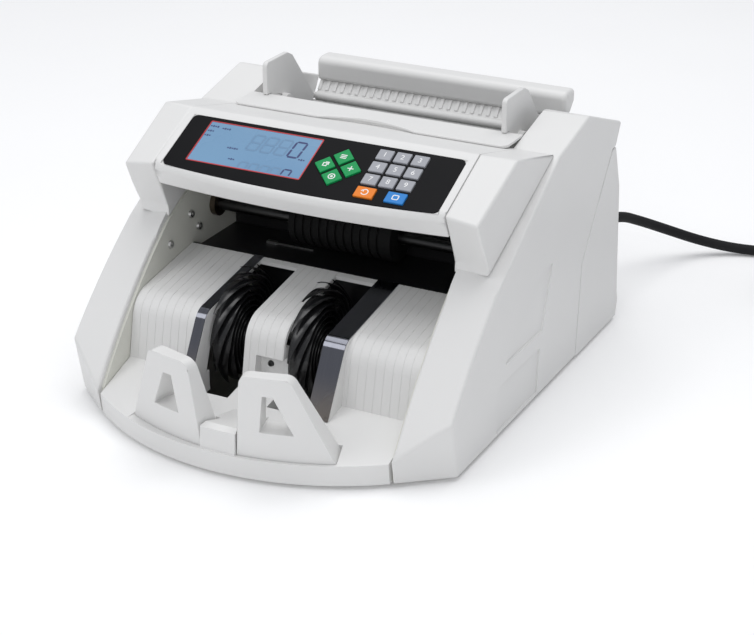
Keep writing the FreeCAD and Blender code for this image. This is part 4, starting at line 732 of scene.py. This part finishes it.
# Housing: softened copies of the moulded covers
coverSpots = [  # kept sharp on both side covers, in millimetres from the middle
    (93.5, 43, 142.5), (92.5, 44.5, 142.5), (95, 44, 143),  # where head, cover and shoulder meet
    (95, -38.7, 98.5), (95, -36.9, 97), (95, -47, 93.1),  # below the temple
    (121.7, 29.5, 79.6),  # on the outer side
    (95.4, -118.8, 16.7),  # at the front foot
]
coverEdges = {"radius": 1.6, "plain": coverSpots, "folds": 100}
housingSetup = {
    "side_cover_right": {"name": "sideCoverRight", **coverEdges},
    "side_cover_left": {"name": "sideCoverLeft", **coverEdges},
    "display_cover": {"name": "headCover", "radius": 1.2, "tries": 4},
    "rear_cover": {"name": "rearCover", "radius": 1.4},
    "stopper_right": {"name": "stopperRight", "radius": 0.45},
    "stopper_left": {"name": "stopperLeft", "radius": 0.45},
    "hopper_plate": {"name": "hopperPlate", "radius": 0.6, "tries": 4},
    "guide_right": {"name": "guideRight", "radius": 1.0},
    "guide_left": {"name": "guideLeft", "radius": 1.0},
    "back_flap": {"name": "backFlap", "radius": 0.6},
    "carry_bar": {"name": "carryBar", "radius": 4.5},
}
stripRadius = 0.1
for node, setup in housingSetup.items():
    roundedPiece(node=node, finish="housing", slot="housing", **setup)
for side in ("left", "right"):
    roundedPiece(f"strip.{side}", f"strip_{side}", "strip", "strip", stripRadius)
print("housing softened:", len(housingSetup))

# Ledge that closes the gap below the hopper plate, with the finger notch in its front
ledgeSetup = {
    "front": 35.6,
    "rear": 56.0,
    "low": 143.2,
    "high": 145.75,
    "half": 82.0,
    "notchHalf": 32.0,
    "notchDeep": 6.6,
    "steps": 40,
}


def ledgeMesh():
    ledge = ledgeSetup
    half, rear = ledge["half"], ledge["rear"]
    outline = []
    for step in range(ledge["steps"] + 1):
        across = half * (2 * step / ledge["steps"] - 1)
        notch = max(1 - (across / ledge["notchHalf"]) ** 2, 0) * ledge["notchDeep"]
        outline.append((across, ledge["front"] + notch))
    shape = bmesh.new()
    prism(shape, outline + [(half, rear), (-half, rear)], ledge["low"], ledge["high"])
    return meshFrom("hopperLedge", shape)


addPiece("hopperLedge", ledgeMesh(), "housing", "chassis", "housing")
print("ledge made")

# Control panel, drawn flat and then laid on the slope
panelSetup = {
    "brow": (-53.5, 135.0),  # Y and Z of the panel's front edge
    "rise": 0.468,
    "keyProud": 1.0,
}
panelPlace = Matrix.Translation((0, panelSetup["brow"][0] * mm, panelSetup["brow"][1] * mm))
panelTurn = panelPlace @ Matrix.Rotation(atan(panelSetup["rise"]), 4, "X")


def panelMesh(name, draw, *details):
    shape = bmesh.new()
    draw(shape, *details)
    bmesh.ops.recalc_face_normals(shape, faces=shape.faces[:])
    mesh = meshFrom(name, shape)
    mesh.transform(panelTurn)
    return mesh


# Keypad sheet with its four outer corners rounded, and the keys in it
sheetSetup = {
    "corner": 3.5,
    "steps": 6,
    "profile": 0.5,  # a true round
    "reach": 1.0,  # how near the sheet's ends the corners lie
    "upright": 0.9,  # how squarely they stand on the panel
    "keen": 40,
}
keyRadius = 0.45
keyFinish = {"north": "key_green", "east": "key_green", "south": "key_green", "west": "key_green",
             "clear": "key_orange", "0": "key_blue"}


def sheetMesh(node):
    sheet = sheetSetup
    low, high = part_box(node)
    shape = mergedShape(node)
    outward = panelTurn.to_3x3() @ Vector((0, 0, 1))
    corners = []
    for edge in shape.edges:
        first, second = (end.co for end in edge.verts)
        across = (first.x + second.x) / 2
        outer = min(across - low.x, high.x - across) < sheet["reach"] * mm
        upright = abs((second - first).normalized().dot(outward)) > sheet["upright"]
        if outer and upright and edge.calc_face_angle(0) > radians(sheet["keen"]):
            corners.append(edge)
    bmesh.ops.bevel(shape, geom=corners, offset=sheet["corner"] * mm, segments=sheet["steps"],
                    profile=sheet["profile"], affect="EDGES")
    print("sheet corners rounded:", len(corners))
    mesh = meshFrom("keypadSheet", shape)
    smoothFaces(mesh)
    return mesh


def makeKeys():
    addPiece("keypadSheet", sheetMesh("keypad_panel"), "membrane", "chassis", "membrane", "keypad_panel")
    for node in sorted(nodes):
        if node.startswith("key_"):
            finish = keyFinish.get(node.removeprefix("key_"), "key_grey")
            roundedPiece(f"{node}.cap", node, finish, finish, keyRadius)


# Display: seven-bar digits over faint ones, small plain marks and a red frame line
displaySetup = {
    "left": -74.5,
    "right": -0.7,
    "low": 8.2,
    "high": 40.6,
    "glassRadius": 0.2,
    "redLine": 0.75,
    "redCorners": (0.3, 0.9),  # inside and outside
    "redHigh": 0.06,
    "ink": 0.05,
    "lean": 0.09,
    "barGap": 0.2,  # share of half a stroke left between two bars
    "digit": (8.1, 13.8, 1.35),  # width, height and stroke
    "digitUp": 29.7,
    "digitPlaces": {"lcdInk": [-12.1], "lcdGhost": [-21.2, -30.3, -39.4]},
    "lowDigit": (6.2, 10.4, 1.1),
    "lowDigitUp": 0.6,  # above the window's lower edge
    "lowPlaces": {"lcdInk": [-10.3], "lcdGhost": [-17.4, -24.5, -31.6, -38.7]},
    "marks": [(-70.2, 37.2, 4), (-62.0, 36.6, 4), (-70.9, 33.2, 3), (-71.2, 29.4, 3), (-50.5, 22.4, 5),
              (-47.0, 14.0, 3), (-5.2, 22.6, 3)],  # place and count of each row
    "markPitch": 1.5,
    "markHalf": 0.5,
    "markRises": (0.5, 0.75),  # short and tall by turns
    "markCorner": 0.2,
    "markSteps": 2,
}
digitBars = {
    "top": ((0, 2), (1, 2)), "upperLeft": ((0, 1), (0, 2)), "upperRight": ((1, 1), (1, 2)),
    "lowerLeft": ((0, 0), (0, 1)), "lowerRight": ((1, 0), (1, 1)), "bottom": ((0, 0), (1, 0)),
    "middle": ((0, 1), (1, 1)),
}
zeroBars = [bar for bar in digitBars if bar != "middle"]
cutBars = ["top", "upperLeft", "upperRight"]  # a digit that the window cuts in half


def drawDigit(shape, middle, size, bars):
    wide, tall, stroke = size
    half = stroke / 2
    for bar in bars:
        ends = [Vector(((x - 0.5) * (wide - stroke), (y - 1) * (tall - stroke) / 2))
                for x, y in digitBars[bar]]
        along = (ends[1] - ends[0]).normalized()
        side = Vector((-along.y, along.x)) * half
        start = ends[0] + along * half * displaySetup["barGap"]
        end = ends[1] - along * half * displaySetup["barGap"]
        outline = [start, start + along * half - side, end - along * half - side,
                   end, end - along * half + side, start + along * half + side]
        leaned = [(middle[0] + spot.x + spot.y * displaySetup["lean"], middle[1] + spot.y)
                  for spot in outline]
        prism(shape, leaned, 0, displaySetup["ink"])


def drawDisplay(shape, finish):
    display = displaySetup
    for across in display["digitPlaces"][finish]:
        bars = zeroBars if finish == "lcdInk" else list(digitBars)
        drawDigit(shape, (across, display["digitUp"]), display["digit"], bars)
    for across in display["lowPlaces"][finish]:
        drawDigit(shape, (across, display["low"] + display["lowDigitUp"]), display["lowDigit"], cutBars)
    if finish == "lcdInk":
        for across, up, count in display["marks"]:
            for step in range(count):
                spot = (across + (step - count / 2) * display["markPitch"], up)
                outline = roundLoop(spot, display["markHalf"], display["markRises"][step % 2],
                                    display["markCorner"], display["markSteps"])
                prism(shape, outline, 0, display["ink"])


def drawRedLine(shape):
    display = displaySetup
    wide = display["redLine"]
    middle = ((display["left"] + display["right"]) / 2, (display["low"] + display["high"]) / 2)
    half = (display["right"] - display["left"]) / 2
    rise = (display["high"] - display["low"]) / 2
    innerCorner, outerCorner = display["redCorners"]
    inner = roundLoop(middle, half, rise, innerCorner)
    outer = roundLoop(middle, half + wide, rise + wide, outerCorner)
    ringPrism(shape, outer, inner, 0, display["redHigh"])


makeKeys()
roundedPiece("displayGlass", "display_window", "lcd", "lcd", displaySetup["glassRadius"])
for finish, name in (("lcdGhost", "displayFaint"), ("lcdInk", "displayDigits")):
    addPiece(name, panelMesh(name, drawDisplay, finish), finish, "chassis", "lcd")
addPiece("displayLine", panelMesh("displayLine", drawRedLine), "redLine", "chassis", "membrane")
print("panel made")


# Key marks: digits, and plain symbols on the coloured keys
def strokePrism(shape, path, wide, low, high, closed, mitre=0.5):  # a raised line of even width
    points = [Vector(point) for point in path]
    count = len(points)
    loops = []
    for here, point in enumerate(points):
        before = points[here - 1] if closed or here else point
        after = points[(here + 1) % count] if closed or here < count - 1 else point
        steps = [step.normalized() for step in (point - before, after - point) if step.length > 0]
        along = sum(steps, Vector((0, 0))).normalized()
        side = Vector((-along.y, along.x)) * wide / 2 / max(along.dot(steps[0]), mitre)
        corners = ((point - side, low), (point + side, low), (point + side, high), (point - side, high))
        loops.append([shape.verts.new((spot.x * mm, spot.y * mm, height * mm)) for spot, height in corners])
    for here in range(count if closed else count - 1):
        first, second = loops[here], loops[(here + 1) % count]
        for corner in range(4):
            after = (corner + 1) % 4
            shape.faces.new((first[corner], second[corner], second[after], first[after])[::-1])
    if not closed:
        shape.faces.new(loops[0])
        shape.faces.new(loops[-1][::-1])


def arcPath(radius, start, end, steps=18):
    turns = [radians(start + (end - start) * step / steps) for step in range(steps + 1)]
    return [(radius * cos(turn), radius * sin(turn)) for turn in turns]


def squarePath(half):
    return [(-half, -half), (half, -half), (half, half), (-half, half)]


keyMarkSetup = {
    "digitTall": 5.0,
    "line": 0.62,
    "print": 0.06,
    "firstDigit": (40.9, 36.9),
    "digitPitch": (10.95, -10.0),
    "digitRows": 3,
    "symbolSpots": {"clear": (42.2, 6.6), "0": (61.2, 6.6), "north": (18.0, 30.05), "east": (26.15, 21.9),
                    "south": (18.0, 13.75), "west": (9.85, 21.9)},
}
keySymbols = {  # open and closed lines, in millimetres about the key's middle
    "north": [([(-1.9, height), (1.9, height)], False) for height in (-1.2, 0, 1.2)],
    "east": [([(-1.9, 0), (-0.31, 0)], False), ([(0.31, 0), (1.9, 0)], False),
             ([(0, -1.9), (0, 1.9)], False)],
    "south": [(arcPath(1.9, 0, 340), True), (arcPath(0.5, 0, 340, 8), True)],
    "west": [(squarePath(1.1), True), ([(-0.1, 1.9), (1.9, 1.9), (1.9, -0.1)], False)],
    "clear": [(arcPath(2.0, 130, -150), False), ([(-2.5, 0.6), (-1.3, 1.5), (-1.0, 0.1)], False)],
    "0": [(roundLoop((0, 0), 1.75, 1.55, 0.6, 3), True)],
}


def digitSpots():
    (left, top), (across, down) = keyMarkSetup["firstDigit"], keyMarkSetup["digitPitch"]
    rows = keyMarkSetup["digitRows"]
    return {str(row * rows + column + 1): (left + across * column, top + down * row)
            for row in range(rows) for column in range(rows)}


def digitMark(digit):
    curve = bpy.data.curves.new("digit", "FONT")
    curve.body = digit
    curve.size = keyMarkSetup["digitTall"] * mm
    curve.align_x = "CENTER"
    curve.align_y = "CENTER"
    curve.extrude = keyMarkSetup["print"] / 2 * mm
    return bake(linked("digit", curve))


def symbolMark(symbol):
    half = keyMarkSetup["print"] / 2
    shape = bmesh.new()
    for line, closed in keySymbols[symbol]:
        strokePrism(shape, line, keyMarkSetup["line"], -half, half, closed)
    bmesh.ops.recalc_face_normals(shape, faces=shape.faces[:])
    return meshFrom("symbol", shape)


for makeMark, spots in ((digitMark, digitSpots()), (symbolMark, keyMarkSetup["symbolSpots"])):
    for label, (across, up) in spots.items():
        node = f"key_{label}"
        mark = makeMark(label)
        mark.transform(panelTurn @ Matrix.Translation((across * mm, up * mm, panelSetup["keyProud"] * mm)))
        addPiece(f"{node}.mark", mark, "print", bodyOf[node], keyFinish.get(label, "key_grey"))
print("keys marked")

# Stacker wheels: spiral blades round a hub
wheelSetup = {
    "Blades": 12,
    "Blade steps": 96,
    "Hub radius": 10.0 * mm,
    "Hub steps": 48,
    "Bore radius": 4.0 * mm,
    "Tip radius": 36.5 * mm,
    "Sweep": 210 / 360,  # turns from a blade's root to its tip
    "Gauge": 1.2 * mm,
    "Width": 10.0 * mm,
    "Edge": 0.3 * mm,
    "Edge steps": 2,
    "Leaf": 0.38,  # share of a blade that narrows to its rounded end
    "Leaf curve": 0.7,
    "Leaf end": 0.12,
}
wheelTurn = Matrix(((0, 0, 1), (1, 0, 0), (0, 1, 0))).to_euler()  # the wheel's own axis laid along the shaft


def wheelMesh(wheel):
    low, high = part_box(wheel)
    recipe = Recipe(f"{wheel}.recipe", wheelSetup)
    size, maths, node = recipe.size, recipe.maths, recipe.node
    half = maths("DIVIDE", size("Gauge"), 2.0)
    path = node("GeometryNodeCurveSpiral", {}, {
        "Resolution": size("Blade steps"), "Rotations": size("Sweep"), "Height": 0.0, "Reverse": True,
        "Start Radius": maths("SUBTRACT", size("Hub radius"), half),
        "End Radius": maths("SUBTRACT", size("Tip radius"), half)})
    path = node("GeometryNodeSetCurveNormal", {"mode": "Z_UP"}, {"Curve": path})
    sideways = recipe.vector(y=maths("MULTIPLY", size("Width"), -0.5))  # from the middle to the wheel's side
    section = node("GeometryNodeCurvePrimitiveQuadrilateral", {}, {
        "Width": size("Gauge"), "Height": size("Width")})
    section = node("GeometryNodeFilletCurve", {"mode": "POLY"}, {
        "Curve": section, "Radius": size("Edge"), "Count": size("Edge steps")})
    section = node("GeometryNodeTransform", {}, {"Geometry": section, "Translation": sideways})
    along = node("GeometryNodeSplineParameter", {}, {})
    toEnd = maths("DIVIDE", maths("SUBTRACT", 1.0, along), size("Leaf"))
    leaf = maths("POWER", maths("MINIMUM", toEnd, 1.0), size("Leaf curve"))
    blade = node("GeometryNodeCurveToMesh", {}, {
        "Curve": path, "Profile Curve": section, "Fill Caps": True,
        "Scale": maths("MAXIMUM", leaf, size("Leaf end"))})
    spots = node("GeometryNodePoints", {}, {"Count": size("Blades")})
    step = maths("DIVIDE", 2 * pi, size("Blades"))
    turn = recipe.vector(z=maths("MULTIPLY", node("GeometryNodeInputIndex", {}, {}), step))
    blades = node("GeometryNodeInstanceOnPoints", {}, {
        "Points": spots, "Instance": blade, "Rotation": turn})
    wall = maths("SUBTRACT", size("Hub radius"), size("Bore radius"))
    ring = node("GeometryNodeCurvePrimitiveCircle", {}, {
        "Resolution": size("Hub steps"),
        "Radius": maths("SUBTRACT", size("Hub radius"), maths("DIVIDE", wall, 2.0))})
    band = node("GeometryNodeCurvePrimitiveQuadrilateral", {}, {"Width": wall, "Height": size("Width")})
    band = node("GeometryNodeTransform", {}, {"Geometry": band, "Translation": sideways})
    hub = node("GeometryNodeCurveToMesh", {}, {"Curve": ring, "Profile Curve": band})
    whole = node("GeometryNodeJoinGeometry", {}, {"Geometry": [blades, hub]})
    placed = node("GeometryNodeTransform", {}, {
        "Geometry": whole, "Rotation": wheelTurn,
        "Translation": (low.x, (low.y + high.y) / 2, (low.z + high.z) / 2)})
    mesh = recipe.bake(placed, "wheel")
    smoothFaces(mesh)
    return mesh


for side in ("left", "right"):
    node = f"stacker_wheel_{side}"
    addPiece(f"stackerWheel.{side}", wheelMesh(node), "wheel", bodyOf[node], "wheel", node)
print("wheels bladed")

# Screws with hexagon sockets
screwSetup = {
    "Head radius": 2.6 * mm,
    "Top radius": 2.15 * mm,
    "Head height": 1.5 * mm,
    "Socket radius": 1.35 * mm,
    "Socket depth": 0.9 * mm,
}
headSides = 24
socketSides = 6
frameFace = 93.5
frameSeats = [(-39, 79), (-15.4, 90.3), (-7, 79.7)]  # Y and Z on each side frame
screwSets = {
    "frameScrews": {
        "seats": [(side * frameFace, *seat) for side in (1, -1) for seat in frameSeats],
        "facing": None,  # towards the middle of the machine
        "share": 1.0,
        "finish": "steel",
        "replaced": ["frame_screws"],
    },
    "sensorScrew": {
        "seats": [(-2.3, -78.3, 37.1)],
        "facing": (0, -1, 0),
        "share": 0.75,
        "finish": "shaft",
        "replaced": [],
    },
}


def screwMesh(name, screws):
    recipe = Recipe(name, {title: value * screws["share"] for title, value in screwSetup.items()})
    size, node = recipe.size, recipe.node
    head = node("GeometryNodeMeshCone", {}, {
        "Vertices": headSides, "Radius Top": size("Top radius"), "Radius Bottom": size("Head radius"),
        "Depth": size("Head height")})
    socket = node("GeometryNodeMeshCylinder", {}, {
        "Vertices": socketSides, "Radius": size("Socket radius"),
        "Depth": recipe.maths("MULTIPLY", size("Socket depth"), 2.0)})
    socket = node("GeometryNodeTransform", {}, {
        "Geometry": socket, "Translation": recipe.vector(z=size("Head height"))})
    screw = node("GeometryNodeMeshBoolean", {"operation": "DIFFERENCE"}, {"Mesh 1": head, "Mesh 2": socket})
    spots = node("GeometryNodeMeshToPoints", {}, {"Mesh": size("Geometry")})
    facing = screws["facing"]
    if facing is None:
        here = node("GeometryNodeInputPosition", {}, {})
        facing = node("ShaderNodeVectorMath", {"operation": "MULTIPLY"}, {0: here, 1: (-1, 0, 0)})
    turn = node("FunctionNodeAlignRotationToVector", {"axis": "Z"}, {"Vector": facing})
    placed = node("GeometryNodeInstanceOnPoints", {}, {
        "Points": spots, "Instance": screw, "Rotation": turn})
    seats = [tuple(part * mm for part in seat) for seat in screws["seats"]]
    return recipe.bake(placed, screws["finish"], seats)


for name, screws in screwSets.items():
    addPiece(name, screwMesh(name, screws), screws["finish"], "chassis", "steel", *screws["replaced"])
print("screws set:", sum(len(screws["seats"]) for screws in screwSets.values()))

# Plain small parts: the dark wall behind the wheels, a sheet put there as painted shade so the slot looks
# black, and the sensor rail in the throat
smallParts = {
    "slotShade": {"x": (-55, 55), "y": (-9.2, -8.2), "z": (4.2, 65.8), "finish": "dark_plastic"},
    "sensorRail": {"x": (-58, -26), "y": (15.0, 15.8), "z": (67.4, 68.1), "finish": "steel"},
    "sensorTab": {"x": (-58, -51), "y": (13.6, 16.6), "z": (67.4, 68.9), "finish": "steel"},
}


def boxMesh(name, part):
    shape = bmesh.new()
    (left, right), (front, rear) = part["x"], part["y"]
    prism(shape, [(left, front), (right, front), (right, rear), (left, rear)], *part["z"])
    return meshFrom(name, shape)


for name, part in smallParts.items():
    addPiece(name, boxMesh(name, part), part["finish"], "chassis", part["finish"])
print("small parts made:", len(smallParts))

# Tie round the coil of the lead, drawn across the bundle and turned onto it
tieSetup = {
    "middle": (38.0, 8.0),  # out from the coil's middle, and up
    "half": 15.4,
    "rise": 7.8,
    "gauge": 0.5,
    "wide": 5.0,
    "corner": 5.0,
}


def tieMesh():
    tie = tieSetup
    half, rise, corner, gauge = tie["half"], tie["rise"], tie["corner"], tie["gauge"]
    inner = roundLoop(tie["middle"], half - gauge, rise - gauge, corner - gauge)
    outer = roundLoop(tie["middle"], half, rise, corner)
    shape = bmesh.new()
    ringPrism(shape, outer, inner, -tie["wide"] / 2, tie["wide"] / 2)
    bmesh.ops.recalc_face_normals(shape, faces=shape.faces[:])
    mesh = meshFrom("leadTie", shape)
    across, deep = leadSetup["coilMiddle"]
    mesh.transform(Matrix.Translation((across * mm, deep * mm, 0)) @ Matrix.Rotation(pi / 2, 4, "X"))
    smoothFaces(mesh)
    return mesh


addPiece("leadTie", tieMesh(), "cord", "chassis", "cord")
print("lead tied")

# Feed, drive and stacker nodes that keep their own shape
nodeFinish = {
    "stacker_tray": "tray", "base_plate": "steel", "feet": "foot",
    "side_frame_left": "frame", "side_frame_right": "frame", "shaft_bearings": "bush",
    "throat_plate": "dark_plastic", "stacker_shaft": "shaft", "feed_shaft": "shaft", "pickup_shaft": "shaft",
    "feed_roller": "roller", "pickup_roller": "roller", "drive_motor": "motor", "motor_pulley": "steel",
    "drive_belt": "belt", "stacker_belt": "belt", "pickup_belt": "belt", "display_board": "board",
    "guide_rail": "steel", "power_inlet": "dark_plastic", "power_switch": "dark_plastic",
    "main_board": "board",
}
for node, finish in nodeFinish.items():
    holder = nodes[node]
    if not holder.material_slots:
        holder.data.materials.append(finishes[finish])
    for place in holder.material_slots:
        place.material = finishes[finish]
print("nodes finished:", len(nodeFinish))

# Floor and studio light
floorLook = {
    "half": 3.0,
    "cloudScale": 6,
    "dark": (0.92, 0.92, 0.92),
    "light": (0.94, 0.94, 0.94),
    "gloss": 0.2,
    "glow": 0.08,
    "rough": 0.6,
    "roughCloud": 0.1,
}
studio = {
    "sky": 0.46,
    "skyColour": (0.93, 0.95, 1.0, 1),
    "lamps": [  # name, place, size and power
        ("keyLamp", (-0.9, -1.1, 1.5), 0.8, 5),
        ("topLamp", (0.0, 0.3, 1.8), 1.8, 20),
        ("frontLamp", (0.5, -1.3, 0.8), 0.7, 2.8),
    ],
    "aim": (0.0, 0.0, 0.06),
}


def paleFloor(name):
    look = floorLook
    finish = Finish(name, Specular_IOR_Level=look["gloss"], Emission_Color=(1, 1, 1, 1),
                    Emission_Strength=look["glow"])
    cloud = finish.noise(look["cloudScale"], 2)
    return finish.wear(Base_Color=finish.blend(cloud, look["dark"], look["light"]),
                       Roughness=look["rough"] + cloud * look["roughCloud"])


def makeFloor():
    mesh = bpy.data.meshes.new("floor")
    mesh.from_pydata([(x, y, 0) for x, y in squarePath(floorLook["half"])], [], [(0, 1, 2, 3)])
    mesh.materials.append(paleFloor("paleFloor"))
    floor = linked("floor", mesh)


def makeLight():
    world = bpy.data.worlds.new("studio")
    world.use_nodes = True
    sky = world.node_tree.nodes["Background"].inputs
    sky["Color"].default_value = studio["skyColour"]
    sky["Strength"].default_value = studio["sky"]
    bpy.context.scene.world = world
    for name, spot, size, power in studio["lamps"]:
        lamp = bpy.data.lights.new(name, "AREA")
        lamp.size = size
        lamp.energy = power
        holder = linked(name, lamp)
        holder.location = spot
        aim = Vector(studio["aim"]) - Vector(spot)
        holder.rotation_euler = aim.to_track_quat("-Z", "Y").to_euler()
    bpy.context.scene.view_settings.view_transform = "Standard"


makeFloor()
makeLight()
print("studio lit")
